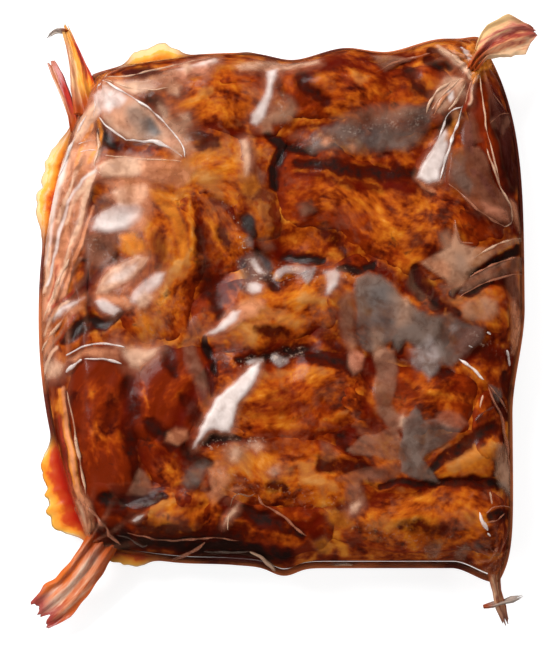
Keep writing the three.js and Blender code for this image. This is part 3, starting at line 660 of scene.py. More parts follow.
MEAT_DEEP = (0.042, 0.003, 0.0007)
MEAT_BROWN = (0.135, 0.016, 0.0015)
MEAT_ORANGE = (0.31, 0.060, 0.004)
MEAT_GOLD = (0.44, 0.130, 0.009)
MEAT_PALE = (0.55, 0.24, 0.06)
MEAT_RED = (0.24, 0.022, 0.001)
MEAT_TAN = (0.27, 0.11, 0.035)
SAUCE_RED = (0.07, 0.003, 0.0005)
CHAR = (0.010, 0.005, 0.004)
# How far the gold bands lift the colour of meat and sauce: golden meat, and painted light.
GOLD_AND_LIGHT_LIFT = 0.19


def stained(tree, colour):
    """Meat or sauce colour under its bands of red sauce, with painted shade: sauce red where ribs meet,
    deep brown in the gaps, and black only where they are deepest, partly char and partly painted
    shade. A mottle breaks the edges."""
    broken = number(tree, "ADD", number(tree, "MULTIPLY", mottled(tree, 210, 600, 0.25, 0.3), 2.6), -0.3)
    red, meeting, dark = [
        number(tree, "MULTIPLY", attribute(tree, key), broken) for key in ("red", "meeting", "dark")
    ]
    colour = mix(tree, ramp(tree, red, (0.05, 0.0), (0.65, 0.93)), colour, SAUCE_RED)
    colour = mix(tree, ramp(tree, meeting, (0.05, 0.0), (0.9, 0.9)), colour, SAUCE_RED)
    colour = mix(tree, ramp(tree, dark, (0.02, 0.0), (0.5, 0.97)), colour, MEAT_DEEP)
    return mix(tree, ramp(tree, dark, (0.55, 0.0), (1.0, 0.9)), colour, CHAR)


def meat_material():
    """Browned pork: fibres from gold to deep brown by a mottle, redder where sauce lies over it, and
    charred in spots. Painted light lifts it in the gold bands, and painted shade darkens it at each
    rib's sides, deep under the film and in the dark bands."""
    material, tree, output = new_material("cooked_pork")
    axes = {axis: attribute(tree, key) for axis, key in (("X", "fibre"), ("Y", "lane"), ("Z", "kind"))}
    strands = node(tree, "ShaderNodeCombineXYZ", axes)
    grain = mottled(tree, 0.12, 0.45, 0.33, 0.1, strands.outputs[0])
    toning = number(tree, "MULTIPLY", attribute(tree, "tone"), 0.085)
    lift = plus(tree, toning, attribute(tree, "golden"), GOLD_AND_LIGHT_LIFT)
    toned = number(tree, "ADD", grain, lift)
    colour = ramp(tree, toned, (0.34, MEAT_DEEP), (0.43, MEAT_BROWN),
                  (0.53, MEAT_ORANGE), (0.65, MEAT_GOLD), (0.78, MEAT_PALE))
    reddened = number(tree, "SUBTRACT", mottled(tree, 38, 150, 0.3, 0.4), lift)
    tanned = number(tree, "ADD", mottled(tree, 46, 190, 0.35, 0.4), lift)
    redder = mix(tree, 0.4, MEAT_RED, colour)
    colour = mix(tree, ramp(tree, reddened, (0.52, 0.0), (0.6, 0.6)), colour, redder)
    colour = mix(tree, ramp(tree, tanned, (0.55, 0.0), (0.66, 0.5)), colour, MEAT_TAN)
    # Darker and redder the deeper the meat lies under the film: sauce over it, and painted shade in the
    # hollows.
    stirred = plus(tree, attribute(tree, "depth"), mottled(tree, 150, 500, 0.3, 0.3), -2.0)
    sauced_and_shaded = ramp(tree, number(tree, "MULTIPLY", stirred, 0.2), (0.1, 0.0), (0.8, 1.0))
    colour = stained(tree, mix(tree, sauced_and_shaded, colour, SAUCE_RED))
    burnt = ramp(tree, mottled(tree, 75, 380, 0.35, 0.6), (0.62, 0.0), (0.72, 0.7))
    links = {
        "Base Color": mix(tree, burnt, colour, CHAR), "Normal": bumped(tree, grain, 0.3),
        "Roughness": ramp(tree, grain, (0.3, 0.45), (0.7, 0.6)),
    }
    tree.links.new(principled(tree, links, 0.02), output.inputs["Surface"])
    return material


cooked_pork = meat_material()
for rib_name in RIBS:
    rib = rib_piece(rib_name, cooked_pork)
    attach(rib, "root")

# The ribs below.
# A second layer lies under the ribs that show. The pack's weight presses them flat on the base of
# the bag, where they are seen through the film from below. They lie in staggered rows.
LOWER_ROWS, LOWER_COLUMNS = 6, 3
LOWER_LENGTH, LOWER_WIDTH = 68.0, 36.0
LOWER_BOTTOM, LOWER_MIDDLE, LOWER_TOP = 0.8, 9.0, 18.0
LOWER_PITCH = 66.0, 36.0
LOWER_STAGGER = 14.0
LOWER_EDGE = 0.93


def lower_rib_piece(row, column, material, steps=(70, 44)):
    """A rib of the lower layer as a closed bar: pressed flat below, rounded at its sides, and plain above."""
    chance = np.random.default_rng(500 + 10 * row + column)
    cx = CENTRE_X + LOWER_PITCH[0] * (column - 1) + LOWER_STAGGER * (row % 2 - 0.5) + chance.uniform(-3, 3)
    cy = CENTRE_Y + LOWER_PITCH[1] * (row - 2.5) + chance.uniform(-2, 2)
    half_size, turn = (LOWER_LENGTH / 2, LOWER_WIDTH / 2), chance.uniform(-14, 14)
    a, c, (x, y, u, v), edge, round_off = bar_grid((cx, cy), half_size, turn, 0.0, steps, 1, LOWER_EDGE)
    relief = meat_relief(a, c, 700 + 10 * row + column)
    under = LOWER_MIDDLE - (LOWER_MIDDLE - LOWER_BOTTOM - 0.7 * relief) * round_off
    over = LOWER_MIDDLE + (LOWER_TOP - LOWER_MIDDLE) * round_off
    points, quads = shell(in_bag(x, y, over, u, v), in_bag(x, y, under, u, v))
    # Its tone falls towards its ends and sides: painted shade on its rounded flanks.
    values = meat_values(a, c, chance.uniform(-0.8, 0.4) - 1.8 * edge, depth=relief)
    values.update(golden=0.0, dark=0.0, red=0.0, meeting=0.0)
    return mesh_piece(f"lower_rib_{row}_{column}", points, quads, material, values)


for row in range(LOWER_ROWS):
    for column in range(LOWER_COLUMNS):
        lower_rib = lower_rib_piece(row, column, cooked_pork)
        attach(lower_rib, "root")

# The sauce.
# Thick dark barbecue sauce fills the bag round the ribs. Under vacuum it stands just below the
# film everywhere, and only the backs of the ribs rise out of it.
SAUCE_DROP = 2.4
SAUCE_EDGE = 0.985
SAUCE_BOTTOM = 1.6
SAUCE_MEETING = 0.7


def sauce_piece(material, steps=(200, 210)):
    """The sauce as a closed body: a top a little under the film, and a flat underside."""
    u, v = grid(steps, SAUCE_EDGE)
    x, y = plan(u, v)
    stain = stains_and_shade(x, y)
    lumps = 0.5 * noise(x, y, 4, 21) + 0.3 * noise(x, y, 1.8, 22)
    top = in_bag(x, y, film_base(x, y) - SAUCE_DROP - lumps - 0.8 * stain["dark"], u, v)
    under = in_bag(x, y, np.full_like(x, SAUCE_BOTTOM), u, v)
    edge = np.maximum(np.abs(u), np.abs(v)) >= SAUCE_EDGE - 1e-9
    under[edge] = top[edge]
    values = both_sides(**stain)
    values["meeting"] = spread(stain["meeting"], np.full_like(x, SAUCE_MEETING))
    return mesh_piece("sauce", *shell(top, under), material, values)


def sauce_material():
    """Red-brown sauce with shreds of meat in it, lighter with painted light in the gold bands and almost
    black in the dark ones, which are deep sauce and painted shade, with a wet shine.
    """
    material, tree, output = new_material("barbecue_sauce")
    cloud = mottled(tree, 110, 360, 0.28, 0.4)
    lifted = plus(tree, cloud, attribute(tree, "golden"), GOLD_AND_LIGHT_LIFT)
    colour = ramp(tree, lifted, (0.35, (0.045, 0.003, 0.0005)), (0.45, (0.125, 0.012, 0.001)),
                  (0.55, (0.27, 0.050, 0.003)), (0.68, (0.45, 0.15, 0.014)))
    links = {"Base Color": stained(tree, colour), "Normal": bumped(tree, cloud, 0.3)}
    tree.links.new(principled(tree, links, 0.03, Roughness=0.35), output.inputs["Surface"])
    return material


sauce = sauce_piece(sauce_material())
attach(sauce, "root")

# The film.
# Clear shrink film, drawn tight over the ribs by the vacuum. It is taut on their crests, bridges
# the gaps, and is milky where it was gathered or lies off the meat. It closes at the seam.
# Its veils are that milkiness and also painted light and shade: highlights, the sheen where flat
# film reflects the light, and patches of shade. Each veil's outline is in pixels of the photograph,
# 0.42 mm each, and is laid over those before it.
PHOTO_SCALE = 0.42
PHOTO_LEFT, PHOTO_TOP = -117.8, 131.4
MILK_SHEEN_AND_SHADE = {  # the colours of milky film over meat, fat and sauce, and of painted highlights, sheens and shade
    "white": (0.60, 0.51, 0.47), "cream": (0.52, 0.31, 0.20), "salmon": (0.44, 0.17, 0.080),
    "rose": (0.33, 0.12, 0.066), "sand": (0.27, 0.135, 0.077), "tan": (0.170, 0.075, 0.043),
    "umber": (0.12, 0.040, 0.020), "ice": (0.23, 0.18, 0.16), "mist": (0.096, 0.063, 0.048),
    "slate": (0.060, 0.056, 0.054), "plum": (0.080, 0.022, 0.014), "amber": (0.52, 0.16, 0.014),
    "red": (0.19, 0.015, 0.004), "maroon": (0.036, 0.005, 0.003),
}
# Besides milky film and stains, the veils paint light and shade: the white, cream and ice ones highlights,
# the haze ones the sheen of flat film reflecting the light, and the dark ones shade.
VEILS_AND_SHEENS = {  # finish, milkiness, width of its soft edge, how far it lifts in mm, outline
    "tuck": ("cream", 0.5, 3, 1.2, ((103, 76), (114, 85), (127, 93), (141, 102), (153, 111), (165, 122),
        (175, 134), (184, 146), (187, 156), (176, 150), (160, 144), (145, 141), (128, 140), (118, 132),
        (108, 122), (101, 108))),
    "tuck_blue": ("slate", 0.7, 6, 0, ((138, 118), (150, 116), (162, 124), (166, 134), (155, 136),
        (142, 130))),
    "tuck_pink": ("salmon", 0.4, 6, 0, ((112, 112), (124, 108), (130, 118), (134, 128), (126, 132),
        (114, 124))),
    "tuck_head": ("white", 0.75, 5, 0.3, ((94, 90), (106, 84), (122, 90), (128, 98), (120, 106), (108, 108),
        (100, 112), (93, 114), (94, 100))),
    "top_sheet": ("cream", 0.75, 4, 0.4, ((110, 78), (128, 81), (146, 78), (166, 71), (190, 62), (214, 52),
        (219, 54), (212, 62), (196, 70), (176, 78), (166, 88), (152, 92), (134, 94), (122, 88))),
    "top_bright": ("white", 0.9, 5, 0.3, ((176, 68), (196, 60), (216, 53), (217, 58), (206, 64), (196, 66),
        (184, 70))),
    "top_pink": ("rose", 0.5, 7, 0, ((196, 68), (210, 64), (216, 70), (214, 80), (204, 84), (196, 78))),
    "streak_side": ("sand", 0.55, 7, 0, ((268, 100), (280, 92), (292, 96), (300, 108), (292, 120),
        (276, 124), (266, 118))),
    "top_strip": ("cream", 0.45, 4, 0, ((234, 62), (250, 58), (270, 57), (292, 59), (318, 55), (318, 62),
        (292, 69), (264, 70), (240, 70))),
    "streak_top": ("white", 0.75, 4, 0.5, ((267, 70), (277, 66), (276, 76), (273, 86), (271, 96),
        (268, 106), (265, 118), (258, 127), (251, 124), (252, 114), (258, 104), (264, 94), (266, 82))),
    "streak_second": ("cream", 0.6, 4, 0.3, ((241, 142), (248, 140), (251, 150), (251, 164), (249, 176),
        (244, 178), (242, 166), (241, 152))),
    "shoulder_cream": ("cream", 0.5, 5, 0.3, ((66, 152), (72, 142), (84, 138), (98, 138), (104, 150),
        (101, 162), (94, 168), (84, 168), (74, 166), (68, 160))),
    "shoulder_wash": ("salmon", 0.8, 5, 0, ((58, 152), (72, 138), (88, 120), (100, 134), (98, 164),
        (90, 188), (88, 214), (84, 240), (72, 262), (58, 294), (45, 330), (41, 326), (42, 290), (44, 250),
        (47, 215), (51, 180))),
    "shoulder_strip": ("cream", 0.85, 4, 0.4, ((88, 108), (93, 116), (81, 133), (75, 147), (71, 163),
        (66, 181), (62, 200), (58, 220), (51, 240), (46, 257), (43, 256), (46, 232), (49, 210), (54, 190),
        (59, 172), (66, 152), (74, 134), (82, 118))),
    "shoulder_band": ("salmon", 0.6, 5, 0.3, ((78, 170), (92, 170), (96, 180), (88, 192), (82, 206),
        (76, 224), (66, 244), (58, 262), (52, 280), (48, 276), (54, 256), (60, 236), (66, 216), (70, 196))),
    "under_tuck": ("cream", 0.8, 4, 0.5, ((98, 166), (112, 160), (128, 157), (146, 160), (152, 168),
        (140, 176), (120, 178), (104, 178))),
    "shoulder_fold": ("white", 0.6, 4, 0.4, ((72, 200), (80, 188), (92, 172), (100, 166), (98, 174),
        (86, 186), (78, 198))),
    "gleam_pink": ("salmon", 0.6, 6, 0.2, ((100, 196), (118, 192), (140, 190), (147, 198), (146, 206),
        (128, 206), (108, 200))),
    "tuck_glow": ("cream", 0.55, 6, 0, ((158, 104), (168, 108), (184, 124), (194, 140), (196, 152),
        (184, 154), (176, 138), (166, 122))),
    "below_tuck": ("salmon", 0.8, 8, 0, ((138, 158), (184, 162), (198, 170), (192, 184), (176, 190),
        (156, 184), (142, 176))),
    "corner_glow": ("cream", 0.65, 5, 0, ((73, 128), (82, 106), (94, 96), (102, 106), (94, 122), (82, 138),
        (74, 138))),
    "streak_edge": ("white", 0.75, 3, 0.5, ((62, 152), (69, 148), (64, 178), (58, 208), (55, 236),
        (49, 262), (45, 258), (50, 235), (53, 206), (57, 176))),
    "streak_inner": ("cream", 0.9, 3, 0.5, ((90, 172), (97, 170), (88, 196), (86, 220), (78, 246),
        (66, 274), (54, 306), (48, 304), (60, 274), (71, 246), (79, 220), (82, 196))),
    "streak_line": ("umber", 0.5, 3, 0, ((74, 182), (79, 180), (72, 206), (69, 226), (62, 250), (56, 262),
        (58, 240), (66, 210))),
    "gleam_shade": ("slate", 0.5, 5, 0, ((97, 198), (108, 193), (117, 198), (113, 208), (104, 214),
        (97, 210))),
    "gleam_upper": ("white", 0.8, 6, 0.8, ((96, 230), (98, 216), (108, 208), (122, 204), (140, 203),
        (147, 211), (142, 222), (128, 230), (110, 233))),
    "gleam_band": ("cream", 0.9, 4, 0.7, ((98, 291), (104, 278), (114, 268), (128, 260), (142, 255),
        (151, 258), (148, 268), (138, 276), (124, 284), (110, 292))),
    "gleam_core": ("white", 0.6, 5, 0, ((108, 284), (116, 273), (128, 266), (142, 262), (140, 270),
        (126, 281))),
    "gleam_gold": ("amber", 0.35, 7, 0, ((138, 308), (148, 306), (156, 318), (162, 334), (154, 340),
        (144, 326))),
    "gleam_slant": ("white", 0.75, 5, 0.5, ((133, 303), (136, 292), (146, 282), (158, 272), (169, 271),
        (164, 284), (152, 294), (142, 304))),
    "gleam_left": ("white", 0.75, 5, 0.6, ((48, 316), (58, 306), (70, 300), (86, 295), (80, 303), (68, 311),
        (56, 317))),
    "gleam_low_left": ("white", 0.6, 3, 0.5, ((98, 299), (106, 295), (116, 303), (124, 311), (116, 315),
        (106, 311))),
    "arch": ("salmon", 0.6, 5, 0, ((70, 357), (84, 349), (100, 345), (120, 346), (126, 352), (122, 360),
        (106, 357), (88, 356), (78, 362))),
    "arch_end": ("cream", 0.75, 6, 0.6, ((118, 343), (140, 345), (161, 347), (158, 353), (148, 360),
        (142, 368), (132, 366), (128, 358), (124, 350))),
    "edge_low": ("salmon", 0.7, 5, 0, ((41, 322), (52, 318), (58, 332), (56, 350), (44, 352))),
    "edge_blob": ("cream", 0.8, 6, 0, ((44, 356), (58, 354), (66, 362), (62, 372), (48, 374))),
    "strip_left": ("amber", 0.75, 2, 0.8, ((60, 385), (66, 384), (71, 405), (75, 430), (80, 455), (85, 480),
        (88, 492), (82, 494), (77, 480), (72, 455), (67, 430), (63, 405))),
    "fan": ("cream", 0.6, 5, 0.6, ((436, 84), (444, 78), (456, 76), (466, 80), (464, 94), (454, 102),
        (446, 110), (438, 116), (432, 110), (432, 98))),
    "knot_band": ("cream", 0.75, 3, 0.8, ((436, 42), (446, 44), (458, 54), (468, 64), (474, 72), (470, 78),
        (460, 68), (448, 58), (438, 50))),
    "knot": ("amber", 0.8, 2, 1, ((466, 44), (474, 36), (486, 38), (492, 48), (490, 60), (482, 68),
        (474, 70), (468, 60))),
    "drape_upper": ("umber", 0.5, 4, 0.5, ((464, 112), (470, 110), (476, 124), (480, 140), (470, 142),
        (462, 146), (460, 130))),
    "drape": ("umber", 0.75, 1.5, 1.6, ((447, 151), (456, 147), (466, 144), (478, 146), (484, 160),
        (490, 178), (498, 192), (507, 203), (510, 214), (509, 222), (502, 225), (490, 221), (476, 214),
        (464, 202), (455, 191), (447, 186), (444, 178), (446, 164))),
    "drape_grey": ("mist", 0.6, 4, 0, ((450, 158), (458, 152), (464, 158), (462, 172), (470, 186),
        (466, 198), (454, 188), (448, 178))),
    "drape_pink": ("rose", 0.6, 4, 0, ((462, 196), (476, 200), (492, 206), (504, 210), (506, 220),
        (494, 220), (478, 212), (466, 204))),
    "drape_mark": ("plum", 0.8, 2, 0, ((464, 168), (472, 169), (474, 176), (468, 177))),
    "drape_shade": ("plum", 0.7, 2, 0, ((476, 176), (482, 176), (487, 186), (493, 198), (490, 202),
        (484, 194), (478, 184))),
    "flare": ("white", 0.95, 3, 1.5, ((417, 180), (418, 168), (424, 158), (430, 148), (436, 138),
        (444, 130), (448, 134), (447, 146), (444, 158), (440, 168), (438, 180), (428, 184))),
    "flare_core": ("amber", 0.6, 3, 0, ((452, 108), (458, 112), (454, 126), (448, 142), (442, 143),
        (447, 126))),
    "flare_tip": ("salmon", 0.7, 3, 0.6, ((416, 182), (424, 184), (432, 188), (437, 194), (430, 194),
        (421, 190))),
    "flare_head": ("white", 0.85, 2, 0.5, ((446, 90), (451, 91), (453, 100), (448, 104), (445, 98))),
    "edge_tan": ("tan", 0.6, 4, 0.3, ((488, 120), (496, 110), (508, 110), (512, 116), (505, 124),
        (496, 130), (490, 128))),
    "haze_band": ("mist", 0.65, 6, 0.3, ((300, 142), (318, 128), (340, 120), (362, 124), (385, 112),
        (405, 106), (425, 103), (433, 112), (428, 128), (420, 142), (405, 152), (385, 150), (365, 155),
        (345, 152), (330, 150), (312, 155))),
    "haze_tan": ("tan", 0.55, 8, 0, ((330, 118), (350, 112), (376, 106), (400, 104), (420, 106), (410, 118),
        (380, 124), (350, 126))),
    "haze_blue": ("slate", 0.5, 6, 0, ((356, 130), (372, 126), (380, 134), (374, 146), (358, 148))),
    "haze_spot": ("salmon", 0.5, 4, 0, ((322, 136), (332, 134), (334, 142), (326, 148), (320, 144))),
    "haze_speck": ("salmon", 0.4, 4, 0, ((345, 146), (352, 142), (358, 148), (352, 154))),
    "top_corner": ("tan", 0.6, 4, 0.4, ((370, 50), (386, 48), (402, 52), (410, 56), (396, 62), (384, 72),
        (377, 64))),
    "star": ("sand", 0.8, 3, 0.8, ((415, 263), (432, 254), (447, 248), (449, 234), (451, 221), (457, 243),
        (470, 247), (486, 247), (504, 239), (522, 231), (523, 236), (508, 245), (492, 254), (478, 263),
        (466, 274), (461, 285), (450, 298), (443, 282), (436, 275), (424, 269))),
    "star_lower": ("tan", 0.75, 2, 0.8, ((466, 276), (480, 268), (498, 260), (523, 250), (524, 266),
        (508, 271), (495, 276), (482, 280), (470, 286), (456, 296), (458, 286))),
    "haze_body": ("mist", 0.85, 4, 0.6, ((352, 278), (366, 272), (380, 276), (392, 284), (402, 298),
        (414, 308), (430, 314), (441, 320), (438, 332), (428, 340), (415, 346), (402, 341), (396, 352),
        (390, 342), (380, 344), (372, 352), (362, 350), (356, 340), (354, 320), (351, 300))),
    "haze_tip": ("ice", 0.75, 7, 0.3, ((412, 346), (424, 334), (436, 340), (442, 352), (434, 370),
        (425, 380), (416, 364))),
    "haze_right": ("mist", 0.75, 4, 0.2, ((430, 314), (446, 312), (460, 322), (480, 328), (478, 340),
        (464, 352), (450, 366), (438, 362), (428, 340))),
    "haze_fold": ("sand", 0.15, 4, 0.3, ((402, 282), (410, 268), (414, 284), (426, 300), (440, 312),
        (428, 312), (412, 300))),
    "haze_centre": ("sand", 0.4, 8, 0, ((384, 290), (400, 294), (412, 306), (408, 322), (394, 330),
        (384, 316))),
    "haze_left": ("tan", 0.7, 5, 0.3, ((335, 300), (344, 290), (352, 292), (352, 310), (354, 330),
        (357, 345), (350, 354), (342, 342), (336, 325))),
    "haze_lobe": ("ice", 0.35, 7, 0.5, ((404, 346), (416, 345), (428, 350), (432, 362), (425, 375),
        (413, 373), (406, 360))),
    "haze_low": ("rose", 0.6, 4, 0.4, ((345, 352), (356, 350), (363, 356), (361, 370), (352, 376),
        (346, 366))),
    "haze_ray": ("tan", 0.75, 3, 0.5, ((371, 350), (382, 346), (393, 350), (394, 370), (393, 392),
        (389, 404), (394, 412), (402, 416), (400, 424), (388, 430), (380, 420), (373, 410), (371, 395),
        (373, 372))),
    "ray_tip": ("cream", 0.6, 3, 0, ((396, 416), (401, 413), (404, 419), (400, 425), (395, 424))),
    "small_rib": ("sand", 0.65, 6, 0.3, ((455, 306), (464, 298), (480, 296), (494, 300), (496, 312),
        (488, 320), (470, 322), (458, 318))),
    "low_left": ("tan", 0.75, 2, 0.4, ((352, 442), (362, 433), (378, 428), (392, 423), (400, 440),
        (398, 458), (386, 458), (372, 454), (352, 452), (344, 448))),
    "low_under": ("umber", 0.75, 4, 0.4, ((330, 478), (345, 470), (360, 466), (376, 462), (392, 458),
        (398, 468), (392, 477), (370, 478), (350, 481))),
    "low_body": ("mist", 0.8, 2, 0.6, ((398, 418), (406, 414), (412, 404), (417, 410), (420, 418),
        (440, 418), (450, 424), (460, 424), (452, 434), (440, 441), (428, 449), (420, 456), (430, 468),
        (437, 480), (420, 477), (405, 474), (396, 470), (396, 450), (400, 434))),
    "low_rose": ("rose", 0.6, 5, 0.3, ((430, 414), (444, 407), (456, 412), (464, 420), (458, 426),
        (444, 426), (432, 420))),
    "low_wedge": ("tan", 0.5, 4, 0.2, ((318, 440), (328, 442), (338, 452), (330, 458), (320, 462))),
    "golden_low": ("amber", 0.4, 7, 0, ((326, 504), (344, 508), (352, 520), (338, 526), (326, 518))),
    "golden_high": ("amber", 0.4, 7, 0, ((240, 174), (258, 174), (264, 190), (252, 202), (240, 194))),
    "ridge": ("tan", 0.65, 5, 0.3, ((342, 482), (354, 478), (360, 486), (362, 496), (356, 504), (350, 512),
        (346, 500), (342, 492))),
    "ridge_gleam": ("cream", 0.55, 4, 0, ((347, 500), (354, 496), (358, 502), (354, 510), (348, 510))),
    "edge_patch": ("sand", 0.75, 4, 0.4, ((490, 440), (500, 440), (505, 450), (508, 470), (509, 490),
        (500, 486), (492, 478), (488, 470), (490, 460))),
    "edge_mist": ("mist", 0.6, 4, 0.3, ((490, 478), (500, 474), (508, 486), (509, 496), (500, 490))),
    "edge_wedge": ("mist", 0.6, 2, 0.2, ((484, 381), (498, 384), (500, 392), (494, 398), (487, 390))),
    "corner_mist": ("mist", 0.5, 3, 0, ((466, 536), (478, 530), (488, 532), (484, 540), (472, 542))),
    "corner_tan": ("tan", 0.5, 3, 0.2, ((420, 540), (430, 534), (440, 536), (436, 550), (426, 554))),
    "corner_fold": ("tan", 0.5, 3, 0.2, ((450, 545), (462, 536), (468, 542), (460, 556), (452, 556))),
    "edge_upper": ("salmon", 0.5, 4, 0.2, ((506, 196), (514, 200), (520, 216), (522, 228), (516, 230),
        (510, 218))),
    "edge_lower": ("salmon", 0.75, 4, 0.2, ((506, 300), (514, 298), (520, 306), (520, 322), (517, 338),
        (511, 352), (506, 352), (508, 330))),
    "edge_rose": ("rose", 0.3, 5, 0.2, ((500, 272), (511, 264), (521, 268), (521, 298), (514, 310),
        (506, 300))),
    "pit": ("slate", 0.6, 6, 0.3, ((238, 262), (250, 252), (262, 254), (272, 262), (268, 278), (256, 282),
        (246, 296), (238, 290), (240, 276))),
    "pit_upper": ("slate", 0.5, 5, 0.2, ((243, 216), (252, 213), (258, 222), (256, 238), (247, 240),
        (242, 228))),
    "pit_pink": ("salmon", 0.5, 5, 0.2, ((240, 300), (252, 296), (266, 300), (264, 310), (252, 314),
        (240, 312))),
    "pit_arch": ("ice", 0.75, 3, 0.6, ((272, 279), (276, 270), (285, 265), (296, 264), (306, 266),
        (316, 266), (318, 271), (312, 281), (306, 286), (301, 278), (295, 273), (286, 274), (280, 280))),
    "pit_bead": ("white", 0.65, 3, 0.4, ((248, 284), (256, 281), (263, 284), (260, 291), (252, 294),
        (247, 290))),
    "pit_bead_high": ("ice", 0.7, 3, 0.3, ((243, 240), (250, 238), (256, 242), (254, 250), (246, 248))),
    "pit_bead_mid": ("white", 0.6, 3, 0.3, ((251, 260), (256, 258), (260, 266), (264, 272), (258, 273),
        (253, 267))),
    "right_bead": ("white", 0.7, 4, 0.5, ((323, 272), (334, 270), (340, 276), (337, 286), (330, 294),
        (324, 296), (326, 284))),
    "wedge_pink": ("salmon", 0.5, 5, 0.1, ((224, 312), (240, 300), (256, 306), (258, 318), (244, 322),
        (232, 330), (222, 330))),
    "wedge": ("white", 0.85, 3.5, 0.6, ((205, 334), (216, 327), (226, 318), (234, 311), (241, 312),
        (236, 322), (227, 328), (216, 332))),
    "bow": ("tan", 0.5, 4, 0.5, ((192, 318), (200, 314), (205, 324), (200, 336), (197, 346), (202, 360),
        (206, 374), (209, 388), (206, 396), (199, 388), (192, 374), (186, 360), (183, 346), (186, 332))),
    "arc": ("white", 0.95, 3, 1.2, ((259, 361), (252, 367), (244, 375), (236, 382), (226, 390), (218, 397),
        (212, 406), (206, 416), (201, 428), (198, 439), (195, 447), (200, 446), (204, 437), (209, 430),
        (215, 428), (223, 431), (231, 431), (234, 422), (236, 412), (238, 404), (243, 397), (249, 389),
        (255, 381), (259, 372))),
    "arc_shade": ("mist", 0.3, 5, 0, ((206, 430), (212, 416), (222, 404), (228, 408), (222, 422),
        (230, 430), (216, 428))),
    "low_gleam": ("ice", 0.85, 3, 0.4, ((271, 352), (278, 351), (285, 356), (290, 358), (290, 356),
        (290, 359), (290, 362), (287, 364), (279, 367), (273, 364), (270, 358))),
    "low_bead": ("ice", 0.8, 2.5, 0.3, ((246, 361), (254, 357), (262, 356), (264, 361), (257, 364),
        (250, 365))),
    "low_salmon": ("salmon", 0.6, 6, 0.2, ((208, 466), (218, 458), (230, 462), (232, 476), (224, 490),
        (214, 492), (210, 480))),
    "low_golden": ("sand", 0.45, 7, 0, ((222, 446), (236, 440), (248, 446), (244, 458), (232, 466),
        (222, 460))),
    "low_grey": ("mist", 0.7, 5, 0.4, ((186, 466), (197, 459), (207, 455), (213, 461), (207, 471),
        (200, 483), (192, 489), (184, 481))),
    "low_cream": ("cream", 0.4, 5, 0, ((230, 450), (238, 444), (244, 450), (240, 460), (232, 460))),
    "low_speck": ("cream", 0.4, 4, 0, ((248, 444), (258, 440), (264, 446), (256, 452))),
    "low_spot": ("cream", 0.5, 4, 0, ((264, 470), (272, 464), (280, 462), (282, 470), (274, 474))),
    "low_pink": ("salmon", 0.5, 4, 0.2, ((227, 487), (234, 482), (246, 481), (240, 486), (232, 489))),
    "low_flare": ("cream", 0.7, 3, 0.3, ((224, 520), (228, 511), (234, 504), (240, 501), (239, 508),
        (232, 514))),
    "corner_gleam": ("white", 0.8, 2, 0.3, ((135, 516), (140, 510), (148, 508), (143, 514), (138, 517))),
    "corner_salmon": ("salmon", 0.6, 6, 0, ((74, 478), (88, 482), (97, 500), (98, 520), (88, 530),
        (80, 512))),
    "corner_pleat": ("cream", 0.8, 2, 0.4, ((80, 495), (84, 500), (88, 510), (90, 521), (86, 516),
        (82, 506))),
    "corner_strip": ("rose", 0.5, 3, 0.3, ((70, 520), (74, 505), (80, 495), (78, 512), (74, 530),
        (72, 545))),
    "corner_wedge": ("tan", 0.6, 3, 0.2, ((100, 518), (106, 512), (111, 516), (106, 523))),
    "bottom_edge": ("mist", 0.7, 1.5, 0.2, ((318, 561), (330, 556), (345, 555), (362, 562), (345, 560),
        (330, 561))),
    "tuck_mist": ("mist", 0.65, 6, 0, ((124, 104), (140, 106), (154, 116), (166, 132), (156, 140),
        (140, 136), (128, 126))),
    "tuck_slate": ("slate", 0.6, 5, 0, ((146, 116), (156, 118), (166, 132), (158, 138), (148, 130))),
    "tuck_streak": ("white", 0.5, 3, 0, ((106, 92), (114, 90), (118, 100), (112, 112), (106, 106))),
    "top_red": ("maroon", 0.75, 3, 0, ((120, 70), (132, 64), (150, 62), (160, 70), (148, 78), (130, 76))),
    "top_glow": ("rose", 0.6, 4, 0, ((150, 82), (170, 74), (196, 62), (214, 56), (208, 68), (184, 80),
        (160, 90))),
    "corner_maroon": ("maroon", 0.85, 5, 0, ((486, 78), (500, 92), (512, 116), (520, 150), (520, 190),
        (508, 184), (498, 150), (488, 112))),
    "corner_ray": ("umber", 0.7, 3, 0, ((500, 118), (512, 106), (516, 110), (506, 124), (498, 136))),
    "drape_dark": ("plum", 0.8, 3, 0, ((462, 118), (470, 122), (474, 140), (470, 156), (462, 148),
        (458, 132))),
    "drape_fleck": ("plum", 0.8, 2, 0, ((472, 170), (478, 172), (482, 182), (488, 184), (490, 190),
        (482, 190), (476, 182))),
    "low_maroon": ("maroon", 0.85, 4, 0, ((112, 548), (150, 552), (200, 548), (240, 546), (268, 552),
        (284, 566), (270, 574), (220, 566), (160, 562), (116, 560))),
    "black_gap": ("maroon", 0.5, 6, 0, ((112, 482), (130, 478), (160, 484), (164, 494), (150, 500),
        (124, 500))),
    "salmon_blob": ("salmon", 0.65, 5, 0, ((168, 430), (178, 424), (190, 428), (192, 438), (180, 444),
        (168, 440))),
    "mauve_tri": ("tan", 0.6, 3, 0, ((128, 490), (142, 464), (150, 468), (158, 488), (146, 492))),
    "right_glow": ("sand", 0.45, 7, 0, ((434, 232), (446, 228), (452, 242), (450, 262), (438, 254))),
    "edge_glow": ("sand", 0.5, 6, 0, ((486, 448), (498, 446), (504, 464), (500, 480), (490, 470))),
    "gleam_glow": ("cream", 0.7, 5, 0, ((114, 191), (130, 184), (148, 185), (151, 196), (142, 207),
        (122, 207))),
    "gleam_round": ("salmon", 0.4, 8, 0, ((104, 182), (130, 176), (152, 184), (156, 210), (148, 232),
        (134, 238), (128, 228), (140, 210))),
